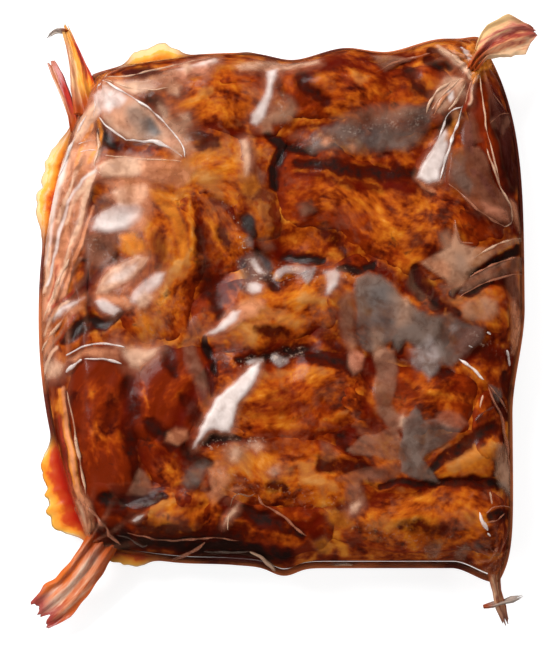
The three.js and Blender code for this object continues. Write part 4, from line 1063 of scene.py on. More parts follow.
    "net": ("umber", 0.75, 5, 0, ((85, 235), (104, 232), (120, 236), (120, 250), (112, 262), (98, 269),
        (87, 256))),
    "orange_patch": ("amber", 0.6, 5, 0, ((121, 236), (140, 232), (149, 240), (146, 253), (132, 257),
        (122, 250))),
    "stripe_dark": ("maroon", 0.45, 5, 0, ((153, 232), (163, 226), (170, 240), (168, 258), (160, 268),
        (153, 256))),
    "gold_edge": ("amber", 0.5, 5, 0, ((150, 190), (164, 195), (178, 207), (188, 226), (190, 250),
        (184, 264), (178, 244), (171, 222), (158, 206))),
    "ridge_salmon": ("salmon", 0.65, 4, 0, ((98, 290), (112, 292), (128, 296), (137, 305), (130, 311),
        (114, 302), (99, 297))),
    "haze_arm": ("plum", 0.5, 5, 0, ((454, 326), (482, 324), (478, 340), (462, 356), (450, 350))),
    "haze_point": ("ice", 0.7, 3, 0, ((442, 326), (450, 323), (456, 328), (448, 333))),
    "haze_dot": ("sand", 0.7, 3, 0, ((399, 298), (405, 295), (407, 303), (402, 307))),
    "haze_cool": ("slate", 0.45, 7, 0, ((364, 286), (384, 282), (398, 300), (392, 330), (376, 344),
        (364, 320))),
    "star_core": ("mist", 0.4, 7, 0, ((448, 250), (462, 254), (468, 268), (458, 282), (450, 272))),
    "star_pink": ("salmon", 0.45, 5, 0, ((422, 262), (440, 258), (448, 270), (446, 282), (434, 276))),
    "window_dark": ("maroon", 0.6, 5, 0, ((408, 272), (420, 270), (430, 284), (428, 298), (416, 292))),
    "slant_end": ("cream", 0.7, 4, 0, ((138, 300), (148, 290), (156, 296), (150, 308), (142, 310))),
    "sheet_low": ("cream", 0.6, 5, 0, ((164, 82), (174, 78), (184, 84), (180, 96), (168, 94))),
    "sheet_end": ("cream", 0.7, 4, 0, ((178, 62), (188, 58), (194, 68), (186, 74))),
    "tuck_end": ("cream", 0.5, 5, 0, ((178, 114), (190, 112), (194, 126), (184, 132))),
    "streak_foot": ("sand", 0.5, 5, 0, ((258, 118), (272, 116), (274, 132), (262, 134))),
    "golden_tip": ("amber", 0.45, 6, 0, ((452, 456), (470, 444), (488, 438), (492, 452), (478, 466),
        (458, 472))),
    "tuck_foot": ("cream", 0.5, 4, 0, ((170, 148), (182, 144), (188, 154), (176, 162))),
    "bow_foot": ("plum", 0.6, 4, 0, ((198, 388), (210, 388), (212, 404), (202, 408))),
    "corner_dim": ("plum", 0.5, 5, 0, ((452, 508), (470, 504), (476, 516), (462, 524))),
    "low_amber": ("amber", 0.35, 5, 0, ((308, 536), (324, 530), (332, 540), (318, 550))),
    "flare_root": ("sand", 0.6, 4, 0, ((446, 110), (456, 108), (462, 118), (452, 126))),
    "left_glow": ("salmon", 0.6, 4, 0, ((70, 304), (84, 300), (90, 308), (76, 314))),
    "haze_pale": ("sand", 0.5, 6, 0, ((366, 330), (380, 328), (384, 350), (372, 362))),
    "haze_edge": ("ice", 0.5, 4, 0, ((407, 348), (416, 344), (420, 360), (410, 364))),
    "low_glow": ("salmon", 0.45, 5, 0, ((206, 488), (220, 482), (228, 492), (214, 502))),
    "gap_tan": ("tan", 0.5, 5, 0, ((296, 206), (310, 202), (316, 212), (302, 218))),
    "star_foot": ("tan", 0.5, 5, 0, ((434, 284), (446, 280), (452, 292), (440, 298))),
    "pit_tan": ("tan", 0.4, 5, 0, ((258, 240), (270, 236), (276, 248), (264, 254))),
}
# Streaks along the pleats: the white and cream ones are painted highlights, the red ones sauce.
STREAKS = [  # finish, milkiness, half width, places along it
    ("red", 0.85, 4.5, ((64, 412), (66, 436), (70, 462), (78, 492))),
    ("cream", 0.9, 3.5, ((438, 43), (450, 52), (462, 63), (470, 76))),
    ("amber", 0.9, 4, ((450, 42), (460, 52), (470, 64), (473, 76))),
    ("white", 0.85, 3, ((462, 44), (468, 54), (472, 66))),
    ("amber", 0.95, 4.5, ((484, 46), (481, 57), (476, 70))),
    ("cream", 0.8, 2.5, ((476, 74), (471, 88), (466, 102))),
    ("red", 0.7, 2.5, ((471, 84), (466, 96), (461, 110))),
    ("tan", 0.75, 3.9, ((84, 158), (76, 174), (70, 192), (62, 214), (56, 240))),
    ("tan", 0.7, 3.6, ((66, 206), (58, 236), (54, 262), (48, 290))),
    ("tan", 0.7, 3.9, ((84, 206), (78, 232), (70, 258), (60, 286))),
    ("tan", 0.7, 3.3, ((54, 316), (62, 296), (72, 274), (84, 256))),
    ("tan", 0.7, 3, ((46, 352), (60, 334), (76, 316))),
    ("amber", 0.7, 3.3, ((99, 118), (104, 130), (103, 144), (96, 152), (92, 162))),
    ("amber", 0.6, 3, ((92, 122), (86, 136), (82, 150), (78, 162))),
    ("white", 0.9, 3.9, ((66, 156), (60, 172), (55, 190), (50, 212))),
    ("cream", 0.9, 3.3, ((94, 178), (82, 190), (74, 204), (68, 222))),
    ("cream", 0.85, 3, ((78, 170), (72, 186), (66, 200), (60, 218))),
    ("cream", 0.85, 3, ((52, 244), (48, 264), (45, 286))),
    ("salmon", 0.85, 3.3, ((76, 244), (70, 262), (62, 282), (56, 298))),
    ("cream", 0.8, 2.7, ((44, 330), (52, 316), (62, 304), (70, 298))),
    ("cream", 0.8, 2.7, ((42, 372), (50, 356), (60, 344))),
    ("salmon", 0.8, 2.7, ((66, 384), (70, 410), (74, 440), (80, 470), (86, 494))),
    ("cream", 0.85, 3, ((97, 172), (86, 198), (83, 222), (74, 246), (62, 280), (50, 306))),
    ("salmon", 0.8, 2.7, ((96, 205), (90, 222), (84, 245), (76, 262), (66, 290), (54, 312))),
    ("white", 0.8, 3, ((60, 166), (53, 189), (47, 218), (44, 240))),
    ("white", 0.7, 2.7, ((97, 172), (84, 180), (70, 200), (62, 229), (56, 257), (47, 280))),
    ("red", 0.8, 3, ((54, 304), (64, 297), (76, 288))),
    ("red", 0.7, 2.5, ((60, 262), (56, 280), (50, 298))),
    ("umber", 0.6, 4, ((92, 262), (86, 276), (78, 286))),
    ("red", 0.6, 3, ((78, 314), (70, 326), (60, 340))),
]
GATHERS = [  # corner, reach, how many creases, height
    (-76, 101, 20, 13, 0.9),
    (83, 109, 26, 15, 1.2),
    (-80, -94, 22, 13, 1.1),
    (89, -100, 16, 11, 0.9),
]
SPECKS = [  # where glints are painted on the crumpled film
    (-17, 37, -13, 11.5, 0, 3.4, 5, 4.2, 0.9),
    (-10.5, 17, 27, 15.5, 0, 3.4, 5, 3.4, 0.9),
    (-5, 98, 2, 81, 0, 3.4, 5, 3.4, 0.6),
    (-63, 5.5, -51.5, -9.5, 0, 2.5, 4.2, 2.5, 0.6),
    (-31.5, -55.5, -8, -53.5, 0, 3.4, 5, 3.4, 0.6),
    (-27.5, -66, 27, -80.5, 0, 3.4, 5.9, 4.2, 0.4),
    (27, -87, 84, -97.5, 0, 3.4, 6.3, 4.2, 0.5),
    (8, 72.5, 63, 83, 0, 3.4, 5, 3.4, 0.5),
    (79.5, -10.5, 92, -15.5, 0, 2.5, 4.2, 2.5, 0.4),
    (-16, -20.5, 8, -16.5, 0, 2.1, 3.4, 2.1, 0.8),
    (-80, 31.5, -68, 21.5, 0, 2.5, 4.2, 2.5, 0.3),
    (-38, 64, -19, 41, 0, 3.4, 5, 3.4, 0.35),
    (-96, 40, -74, 90, 0, 3.4, 5.9, 4.2, 0.4),
]
# The colour of the painted glints.
SPECK = (0.55, 0.42, 0.33)
FILM_STEPS = ((280, 300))
TURN_UNDER = (1.0, 2.5, 4.5, 7.0, UNDER_ROUND, 30, 60, 90)  # insets of the rings below the seam
PLEAT_HEIGHT = 1.0
GATHERED_MILK = 0.4


def photo_place(x, y):
    """Where a place on the pack's top lies in the photograph, in its pixels from the upper left."""
    return (x - PHOTO_LEFT) / PHOTO_SCALE, (PHOTO_TOP - y) / PHOTO_SCALE


def away_from(line, x, y):
    """Distance to the nearest of the straight pieces between the places of a line."""
    nearest = np.full_like(x, 1e6)
    for (ax, ay), (bx, by) in zip(line, line[1:]):
        dx, dy = bx - ax, by - ay
        share = np.clip(((x - ax) * dx + (y - ay) * dy) / (dx**2 + dy**2), 0, 1)
        nearest = np.minimum(nearest, np.hypot(x - ax - share * dx, y - ay - share * dy))
    return nearest


def inside_of(outline, x, y):
    """Distance to the nearest side of a closed outline, negative outside, where a ray crosses its sides an
    even number of times."""
    closed, within = outline + outline[:1], np.zeros(x.shape, bool)
    for (ax, ay), (bx, by) in zip(outline, closed[1:]):
        if ay != by:
            within ^= ((ay > y) != (by > y)) & (x < ax + (y - ay) * (bx - ax) / (by - ay))
    nearest = away_from(closed, x, y)
    return np.where(within, nearest, -nearest)


def lay(colour, cover, finish, share):
    """Lays a share of one finish over the colour and cover of the layers before it."""
    colour += share[..., None] * (np.array(MILK_SHEEN_AND_SHADE[finish]) - colour)
    cover += share * (1 - cover)


def veils_and_sheens(x, y):
    """Colour, milkiness and lift of the film, with its painted highlights, sheens and shade: each veil
    laid over those before it, the bright ones with a rosy rim of painted glow, then the streaks, and
    the highest lift."""
    px, py = photo_place(*ragged(x, y, 0.4))
    thin = np.clip(0.95 + 0.35 * noise(x, y, 9, 95), 0.65, 1)
    colour, cover, lift = np.zeros(x.shape + (3,)), np.zeros_like(x), np.zeros_like(x)
    for finish, milk, soft, rise, outline in VEILS_AND_SHEENS.values():
        inside = inside_of(outline, px, py)
        # A rosy painted glow round the white and cream veils.
        if finish in ("white", "cream"):
            lay(colour, cover, "rose", 0.45 * milk * ease(inside, -2.5 * soft, 0) * thin)
        lay(colour, cover, finish, milk * ease(inside, -soft * 0.5, soft) * thin)
        lift = np.maximum(lift, 0.7 * rise * ease(inside, -1, 3))
    for finish, milk, half, places in STREAKS:
        inside = half - away_from(places, px, py)
        lay(colour, cover, finish, milk * thin * ease(inside, 0, 0.8 * half))
    return colour / np.maximum(cover, 1e-4)[..., None], cover, lift


def gather_creases(gather, x, y):
    """Creases that fan out from a gathered corner, sharp at their crests."""
    gx, gy, reach, count, _ = gather
    distance, direction = np.hypot(x - gx, y - gy), np.arctan2(y - gy, x - gx)
    wave = 0.5 + 0.5 * np.cos(count * direction + 0.8 * np.sin(distance / 6) + 2 * noise(x, y, 14, 51))
    return np.exp(-((distance / reach) ** 2)) * wave**2


def pleats(x, y):
    """Long pleats down the left shoulder, where the film is slack."""
    from_edge = x - (CENTRE_X - HALF_X)
    share = bump(from_edge, 12, 10) * bump(y, 22, 62)
    wave = np.sin(from_edge / 1.3 + 0.07 * y + 1.6 * np.sin(y / 13) + 1.5 * noise(x, y, 16, 52))
    return share * (0.5 + 0.5 * wave) ** 2


def unit(vectors):
    """Vectors in the same directions, each one long."""
    return vectors / (np.linalg.norm(vectors, axis=-1, keepdims=True) + 1e-12)


def normals(points):
    """Normals of a grid of points, from the steps to their neighbours."""
    return unit(np.cross(np.gradient(points, axis=0), np.gradient(points, axis=1)))


def film_points(u, v):
    """The film's top over u, v: the taut film squeezed to the seam, then lifted and creased along its
    normals."""
    x, y = plan(u, v)
    base = in_bag(x, y, film_base(x, y), u, v)
    raised = veils_and_sheens(x, y)[2] + sum(one[4] * gather_creases(one, x, y) for one in GATHERS)
    raised = raised + PLEAT_HEIGHT * pleats(x, y)
    return base + normals(base) * (raised * np.minimum(1, fullness(u, v) * 1.4))[..., None]


def seam_loop(rows, columns):
    """Grid places once round the edge of a grid, anticlockwise seen from above."""
    up_i, up_j = np.arange(rows - 1), np.arange(columns - 1)
    i = np.concatenate([up_i, np.full(columns - 1, rows - 1), rows - 1 - up_i, np.zeros(columns - 1, int)])
    j = np.concatenate([np.zeros(rows - 1, int), up_j, np.full(rows - 1, columns - 1), columns - 1 - up_j])
    return i, j


def ring_quads(rings):
    """Quads between closed loops of point numbers, each loop wound as the first."""
    pairs = zip(rings[:-1], rings[1:])
    return np.concatenate([np.stack([np.roll(a, -1), a, b, np.roll(b, -1)], -1) for a, b in pairs])


film_u, film_v = grid(FILM_STEPS)
film_top = film_points(film_u, film_v)


def film_piece(material):
    """The closed bag: the creased top, then rings that turn under from the seam to the flat base."""
    u, v = film_u, film_v
    index = np.arange(u.size).reshape(u.shape)
    i, j = seam_loop(*u.shape)
    points, rings = [film_top.reshape(-1, 3)], [index[i, j]]
    count = u.size
    for inset in TURN_UNDER:
        x, y = plan(u[i, j] * (1 - inset / HALF_X), v[i, j] * (1 - inset / HALF_Y))
        z = SEAM_Z * (1 - quarter_round(inset, UNDER_ROUND)) * np.ones_like(x)
        points.append(np.stack([x, y, z], -1))
        rings.append(count + np.arange(len(i)))
        count += len(i)
    points.append(np.array([[CENTRE_X, CENTRE_Y, 0.0]]))
    cap = np.stack([np.roll(rings[-1], -1), rings[-1], np.full(len(i), count)], -1)
    quads = np.concatenate([grid_quads(index), ring_quads(rings)])
    x, y = plan(u, v)
    colour, cover, _ = veils_and_sheens(x, y)
    drawn = np.maximum.reduce([gather_creases(one, x, y) ** 2 for one in GATHERS] + [pleats(x, y) ** 1.5])
    share = (GATHERED_MILK * drawn)[..., None]
    colour = colour * cover[..., None] + share * MILK_SHEEN_AND_SHADE["rose"]
    colour /= np.maximum(cover[..., None] + share, 1e-4)
    cover = np.maximum(cover, GATHERED_MILK * drawn)
    pressed = ease(np.maximum.reduce(backs(x, y)) - VALLEY_Z, 0.5, 3.0) * (1 - cover)
    hazy = (1 - painted(CHAR_AND_SHADE_BANDS, x, y, 1.0, 2.5)) * (1 - painted(REDS, x, y, 1.0, 1.0))
    hazy *= (1 - painted(GOLD_AND_LIGHT_BANDS, x, y)) * np.clip(1 + 0.8 * top_tone(x, y), 0.05, 1)
    specks = painted(SPECKS, x, y, 1.5, 1.5)
    rest = count + 1 - u.size
    values = {"veil": np.concatenate([colour.reshape(-1, 3), np.zeros((rest, 3))])}
    for key, grid_values in (("cover", cover), ("pressed", pressed), ("hazy", hazy), ("specks", specks)):
        values[key] = np.concatenate([grid_values.ravel(), np.zeros(rest)])
    return mesh_piece("film", np.concatenate(points), quads, material, values, cap)


CAST = (0.22, 0.10, 0.055)


def film_material():
    """Clear film: what lies behind shows through it, milky and with painted highlights, sheens, shade and
    glints where its veils and glint bands are, with a soft gloss on top.
    """
    material, tree, output = new_material("clear_film")
    pressed, cover = number(tree, "ADD", 0.12, attribute(tree, "pressed")), attribute(tree, "cover")
    normal = bumped(tree, number(tree, "MULTIPLY", mottled(tree, 260, 700, 0.4, 0.4), pressed), 0.2)
    cloud = mottled(tree, 80, 330, 0.32, 0.5)
    cast = ramp(tree, mottled(tree, 62, 300, 0.35, 0.4), (0.50, 0.0), (0.68, 0.3))
    veil = attribute(tree, "veil", "Color")
    colour = mix(tree, ramp(tree, cover, (0.02, 0.0), (0.3, 1.0)), CAST, veil)
    lighter = mix(tree, 1.0, colour, (1.42, 1.45, 1.5), "MULTIPLY")
    darker = mix(tree, 1.0, colour, (0.70, 0.58, 0.52), "MULTIPLY")
    body = mix(tree, ramp(tree, cloud, (0.38, 0.0), (0.6, 1.0)), darker, lighter)
    brightness = node(tree, "ShaderNodeRGBToBW", {"Color": veil}).outputs["Val"]
    body = mix(tree, ramp(tree, brightness, (0.2, 0.0), (0.45, 0.75)), body, colour)
    veiled_share = number(tree, "MULTIPLY", cover, ramp(tree, cloud, (0.36, 0.8), (0.56, 1.0)))
    milkiness = number(tree, "MAXIMUM", veiled_share, number(tree, "MULTIPLY", cast, attribute(tree, "hazy")))
    # Painted glints: pale specks mixed into the film's colour and milkiness where the glint bands lie.
    glitter = ramp(tree, mottled(tree, 520, 1300, 0.4, 0.2), (0.54, 0.0), (0.66, 0.9))
    glitter = number(tree, "MULTIPLY", glitter, attribute(tree, "specks"))
    milkiness = number(tree, "MAXIMUM", milkiness, glitter)
    links = {"Base Color": mix(tree, glitter, body, SPECK), "Normal": normal}
    milk = principled(tree, links, 0.1, Roughness=0.6)
    clear = node(tree, "ShaderNodeBsdfTransparent", Color=(0.98, 0.95, 0.93, 1))
    sheet = node(tree, "ShaderNodeMixShader", {0: milkiness, 1: clear.outputs[0], 2: milk})
    gloss = node(tree, "ShaderNodeBsdfGlossy", {"Normal": normal}, Roughness=0.2)
    edge_on = node(tree, "ShaderNodeFresnel", {"Normal": normal}, IOR=1.14)
    outside = number(tree, "SUBTRACT", 1.0, node(tree, "ShaderNodeNewGeometry").outputs["Backfacing"])
    mirror = number(tree, "MULTIPLY", edge_on.outputs[0], outside)
    glossy = node(tree, "ShaderNodeMixShader", {0: mirror, 1: sheet.outputs[0], 2: gloss.outputs[0]})
    tree.links.new(glossy.outputs[0], output.inputs["Surface"])
    return material


film = film_piece(film_material())
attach(film, "root")
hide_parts("sealed_rib_pack")

# The creases.
# Thin sharp ridges stand up in the film where it was gathered or folded on itself. The doubled
# film is milky there, and their pale colours are also painted highlights along the ridges, so they
# show as bright lines. Places are again in pixels of the photograph.
CREASES = [  # finish, milkiness, half width, places along it
    ("white", 0.95, 1.3, ((102, 75), (113, 84), (127, 92), (141, 101), (153, 110), (165, 121), (175, 133),
        (183, 145), (187, 153), (186, 159))),
    ("white", 0.9, 2.0, ((126, 139), (143, 141), (160, 143), (172, 149), (184, 158))),
    ("white", 0.8, 1.0, ((101, 115), (108, 124), (118, 133), (128, 140))),
    ("cream", 0.7, 1.0, ((107, 155), (125, 158), (150, 161), (183, 162))),
    ("cream", 0.8, 1.0, ((103, 72), (120, 76), (140, 72), (165, 66), (190, 58), (215, 52))),
    ("cream", 0.7, 0.9, ((103, 73), (118, 82), (135, 88), (155, 90), (170, 88))),
    ("cream", 0.7, 0.9, ((104, 72), (112, 66), (124, 62), (136, 59))),
    ("white", 0.7, 0.9, ((94, 114), (98, 104), (96, 92), (102, 78))),
    ("white", 0.7, 0.8, ((80, 141), (90, 139), (98, 139))),
    ("white", 0.7, 0.8, ((82, 150), (92, 149), (100, 150))),
    ("white", 0.8, 1.8, ((88, 112), (80, 126), (72, 142), (66, 158), (60, 172))),
    ("cream", 0.8, 1.5, ((98, 130), (102, 144), (96, 166), (104, 175))),
    ("white", 0.85, 1.7, ((70, 353), (84, 346), (99, 343), (114, 343), (128, 347))),
    ("white", 0.7, 1.4, ((88, 357), (106, 358), (125, 362))),
    ("white", 0.7, 1.8, ((70, 370), (77, 363), (86, 358))),
    ("cream", 0.8, 2.2, ((46, 314), (56, 292), (64, 274), (72, 257))),
    ("cream", 0.8, 1.8, ((42, 345), (58, 326), (78, 303))),
    ("cream", 0.6, 1.0, ((72, 500), (70, 518), (76, 540), (82, 556))),
    ("rose", 0.75, 1.5, ((92, 500), (100, 510), (108, 520), (116, 532), (124, 538))),
    ("mist", 0.8, 1.0, ((120, 529), (135, 533), (146, 540), (150, 538))),
    ("rose", 0.7, 0.9, ((130, 527), (150, 531), (165, 535), (185, 534), (215, 532), (240, 535))),
    ("rose", 0.7, 1.5, ((165, 553), (185, 548), (198, 542), (207, 536))),
    ("mist", 0.8, 0.9, ((205, 545), (230, 545), (250, 545))),
    ("cream", 0.85, 1.3, ((250, 545), (262, 550), (271, 558), (277, 566))),
    ("tan", 0.8, 1.0, ((232, 503), (234, 494), (240, 490), (250, 493), (256, 490))),
    ("cream", 0.7, 0.8, ((230, 511), (229, 525))),
    ("rose", 0.8, 1.7, ((258, 490), (263, 501), (272, 505), (282, 511), (291, 519), (300, 528),
        (306, 531))),
    ("cream", 0.8, 1.2, ((322, 559), (332, 557), (346, 556), (362, 560))),
    ("white", 1.0, 1.7, ((461, 105), (458, 115), (455, 125), (449, 140), (446, 152), (442, 162),
        (438, 180))),
    ("white", 0.9, 1.1, ((461, 106), (452, 109), (446, 114), (442, 122), (439, 135), (432, 148),
        (424, 160))),
    ("cream", 0.8, 0.9, ((478, 68), (480, 90), (482, 112), (485, 132), (491, 158), (498, 184))),
    ("cream", 0.6, 0.9, ((498, 186), (504, 196), (510, 206))),
    ("rose", 0.7, 0.9, ((490, 92), (497, 98), (504, 104))),
    ("rose", 0.6, 0.8, ((488, 122), (498, 112), (510, 106))),
    ("cream", 0.9, 1.6, ((462, 78), (448, 82), (436, 90), (428, 102), (424, 114))),
    ("salmon", 0.9, 1.8, ((462, 80), (450, 90), (440, 100), (432, 116))),
    ("cream", 0.9, 1.4, ((464, 82), (458, 94), (452, 104), (446, 110))),
    ("cream", 0.95, 1.8, ((438, 46), (450, 54), (462, 64), (472, 76))),
    ("salmon", 0.9, 1.8, ((448, 46), (458, 52), (468, 60), (474, 68))),
    ("amber", 0.95, 2.6, ((470, 46), (474, 56), (474, 68), (470, 80))),
    ("amber", 0.9, 2.4, ((482, 46), (480, 56), (476, 68), (472, 84))),
    ("cream", 0.95, 1.4, ((477, 45), (478, 56), (475, 72))),
    ("salmon", 0.9, 1.8, ((470, 80), (466, 92), (463, 104))),
    ("rose", 0.7, 1.1, ((375, 73), (388, 64), (405, 56), (430, 50))),
    ("cream", 0.8, 1.1, ((521, 232), (508, 238), (493, 245), (478, 252), (466, 262))),
    ("rose", 0.8, 1.2, ((522, 252), (508, 256), (490, 264), (474, 272), (466, 278))),
    ("rose", 0.7, 1.0, ((521, 268), (505, 273), (486, 280), (470, 288), (455, 298))),
    ("rose", 0.7, 0.9, ((451, 221), (454, 234), (457, 243), (470, 243))),
    ("white", 0.95, 1.6, ((455, 357), (462, 362), (470, 369), (480, 378))),
    ("white", 0.9, 1.4, ((503, 347), (506, 354), (507, 362))),
    ("white", 0.7, 1.2, ((465, 344), (469, 346))),
    ("white", 0.7, 1.2, ((483, 331), (487, 333))),
    ("cream", 0.8, 1.2, ((478, 393), (477, 400), (476, 406))),
    ("rose", 0.8, 1.6, ((484, 384), (490, 400), (497, 410), (500, 425), (503, 445), (506, 465),
        (507, 490))),
    ("plum", 0.8, 1.5, ((470, 419), (480, 410), (490, 404))),
    ("rose", 0.7, 0.9, ((484, 382), (495, 395), (505, 408))),
    ("rose", 0.8, 1.0, ((480, 509), (488, 503), (500, 501), (507, 500))),
    ("rose", 0.7, 1.0, ((478, 519), (492, 516), (500, 508))),
    ("white", 0.95, 1.8, ((474, 508), (476, 516), (482, 526))),
    ("white", 0.8, 1.1, ((482, 528), (485, 531))),
    ("cream", 0.7, 1.5, ((484, 488), (486, 500))),
    ("rose", 0.6, 1.0, ((484, 556), (488, 548), (492, 540))),
    ("cream", 0.8, 1.3, ((484, 148), (490, 166), (497, 184), (505, 200), (510, 212), (508, 222),
        (500, 226))),
    ("rose", 0.8, 1.2, ((446, 184), (456, 192), (466, 203), (478, 214), (492, 222), (502, 226))),
    ("amber", 0.8, 1.6, ((452, 46), (460, 50), (470, 56))),
    ("cream", 0.9, 1.2, ((458, 78), (446, 90), (436, 100), (430, 110))),
    ("salmon", 0.8, 1.4, ((78, 500), (80, 520), (82, 540), (84, 556))),
    ("salmon", 0.8, 1.2, ((92, 498), (94, 516), (92, 536), (90, 552))),
    ("amber", 0.8, 1.4, ((104, 546), (126, 556), (150, 560))),
    ("rose", 0.7, 1.0, ((62, 470), (66, 490), (68, 510))),
    ("cream", 0.8, 1.4, ((72, 388), (76, 412), (81, 440), (86, 466), (90, 490))),
]
CREASE_HEIGHT = 0.35
CREASE_RAISED, CREASE_SUNK = 0.08, 0.12
CREASE_STATIONS, CREASE_ACROSS = 40, 7
SMOOTH_OVER = 7


def on_film(x, y):
    """Points of the film over places in the plan, by straight interpolation between its grid's points."""
    u, v = plan_inverse(x, y)
    i = np.interp(u, grid_line(FILM_STEPS[0]), np.arange(FILM_STEPS[0]))
    j = np.interp(v, grid_line(FILM_STEPS[1]), np.arange(FILM_STEPS[1]))
    low_i = np.minimum(i.astype(int), FILM_STEPS[0] - 2)
    low_j = np.minimum(j.astype(int), FILM_STEPS[1] - 2)
    i, j = (i - low_i)[..., None], (j - low_j)[..., None]
    near = film_top[low_i, low_j] * (1 - j) + film_top[low_i, low_j + 1] * j
    far = film_top[low_i + 1, low_j] * (1 - j) + film_top[low_i + 1, low_j + 1] * j
    return near * (1 - i) + far * i


def crease_body(half, places, seed):
    """One ridge as a closed strip on the film: a half ellipse across, tapered to both ends, along a line
    through its places that is rounded by a moving average."""
    places = np.array(places, float)
    chord = np.concatenate([[0], np.cumsum(np.hypot(*np.diff(places, axis=0).T))])
    q = np.linspace(0, 1, CREASE_STATIONS)
    line = []
    for k in (0, 1):
        values = np.pad(np.interp(q * chord[-1], chord, places[:, k]), SMOOTH_OVER // 2,
                        mode="reflect", reflect_type="odd")
        line.append(np.convolve(values, np.ones(SMOOTH_OVER) / SMOOTH_OVER, "valid"))
    x, y = PHOTO_LEFT + PHOTO_SCALE * line[0], PHOTO_TOP - PHOTO_SCALE * line[1]
    wander = 0.25 * noise(q * chord[-1] * PHOTO_SCALE, q * 0, 4, seed)
    uneven = 0.9 + 0.55 * noise(q * chord[-1] * PHOTO_SCALE, q * 0, 3, seed + 1)
    taper = np.sqrt(np.clip(1 - np.abs(2 * q - 1) ** 2.5, 0.003, 1)) * uneven
    ahead = unit(np.stack([np.gradient(x), np.gradient(y)], -1))
    w = np.sin(np.linspace(-1, 1, CREASE_ACROSS) * math.pi / 2)
    across = half * PHOTO_SCALE * taper[:, None] * w + wander[:, None]
    base = on_film(x[:, None] - ahead[:, 1:] * across, y[:, None] + ahead[:, :1] * across)
    normal = normals(base)
    rounded = np.clip(1 - w**2, 0, 1)
    ridge = CREASE_HEIGHT * np.minimum(half, 1.5) * np.sqrt(rounded) * taper[:, None]
    top = base + normal * (CREASE_RAISED + ridge)[..., None]
    strength = rounded**0.6 * np.clip(uneven, 0.3, 1)[:, None]
    return *shell(top, base - normal * CREASE_SUNK), spread(strength, strength)


def creases_piece(material):
    """All the ridges in one mesh, each with its own finish."""
    points, quads, colours, covers, count = [], [], [], [], 0
    for order, (finish, milk, half, places) in enumerate(CREASES):
        body, faces, strength = crease_body(half, places, 300 + 2 * order)
        points.append(body)
        quads.append(faces + count)
        colours.append(np.tile(MILK_SHEEN_AND_SHADE[finish], (len(body), 1)))
        covers.append(milk * strength)
        count += len(body)
    values = {"veil": np.concatenate(colours), "cover": np.concatenate(covers)}
    return mesh_piece("creases", np.concatenate(points), np.concatenate(quads), material, values)


def crease_material():
    """Doubled film: milky in its veil's colour, which is also a painted highlight, a little clearer in
    places, and glossy.
    """
    material, tree, output = new_material("creased_film_highlights")
    cloud = mottled(tree, 150, 600, 0.4, 0.6)
    alpha = number(tree, "MULTIPLY", attribute(tree, "cover"), ramp(tree, cloud, (0.36, 0.45), (0.54, 1.0)))
    colour = attribute(tree, "veil", "Color")
    links = {"Base Color": colour, "Alpha": alpha, "Normal": bumped(tree, cloud, 0.2)}
    tree.links.new(principled(tree, links, Roughness=0.3), output.inputs["Surface"])
    return material


creases = creases_piece(crease_material())
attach(creases, "root")

# The seam.
# Upper and lower film are welded in a thin rim round the pack. Fat and sauce have run into it,
# so it is yellow and orange, and in places it stands out as a flap.
RIM_WIDTH, RIM_HALF = 1.2, 0.45
RIM_STEPS = 240
RIM_PROFILE = (  # outwards as a share of its width, or inwards in mm; upwards as a share of RIM_HALF
    (-1.6, 0.7), (0.45, 0.9), (0.9, 0.5), (1.0, 0.0), (0.9, -0.5), (0.45, -0.9), (-1.6, -0.7),
)
FLAPS = [  # middle x, y, reach along the rim, how far it stands out, how far the sauce has run into it
    (-97, 59, 20, 5.5, 0.1),
    (-92, -64, 12, 7.0, 0.6),
    (-87.5, -77, 12, 10.5, 0.45),
    (-53, 110, 11, 6.5, 0.0),
    (-14, 108, 5, 1.6, 0.2),
    (-64, -101, 10, 3.4, 0.3),
]


def rim_piece(material):
    """The rim as a closed band: a flat rounded profile carried round the seam, widened by the flaps."""
    lines = np.linspace(-1, 1, RIM_STEPS)
    u, v = np.meshgrid(lines, lines, indexing="ij")
    i, j = seam_loop(*u.shape)
    x, y = plan(u[i, j], v[i, j])
    tangent = np.stack([np.roll(x, -2) - np.roll(x, 2), np.roll(y, -2) - np.roll(y, 2)], -1)
    outward = unit(np.stack([tangent[:, 1], -tangent[:, 0]], -1))
    near = [np.exp(-((np.hypot(x - row[0], y - row[1]) / row[2]) ** 4)) for row in FLAPS]
    flap = np.maximum.reduce([row[3] * share for row, share in zip(FLAPS, near)])
    run_in = np.maximum.reduce([row[4] * share for row, share in zip(FLAPS, near)])
    width = RIM_WIDTH + flap * (1 + 0.22 * noise(x, y, 3.5, 61) + 0.12 * noise(x, y, 1.7, 62))
    droop = -0.45 * flap + 0.5 * np.sin(np.hypot(x, y) / 2.5) * flap / 5
    rings, points = [], []
    for out, up in RIM_PROFILE:
        reach = out * (np.ones_like(x) if out < 0 else width)
        edge = np.stack([x, y], -1) + outward * reach[:, None]
        height = SEAM_Z + up * RIM_HALF + droop * max(out, 0) ** 2
        rings.append(len(points) * len(x) + np.arange(len(x)))
        points.append(np.concatenate([edge, height[:, None]], -1))
    quads = ring_quads(rings + rings[:1])
    stain = np.tile(np.clip(flap / 5, 0, 1), len(RIM_PROFILE))
    outer = np.concatenate([max(out, 0.0) - run_in for out, _ in RIM_PROFILE])
    return mesh_piece("seam_rim", np.concatenate(points), quads, material, {"stained": stain, "out": outer})


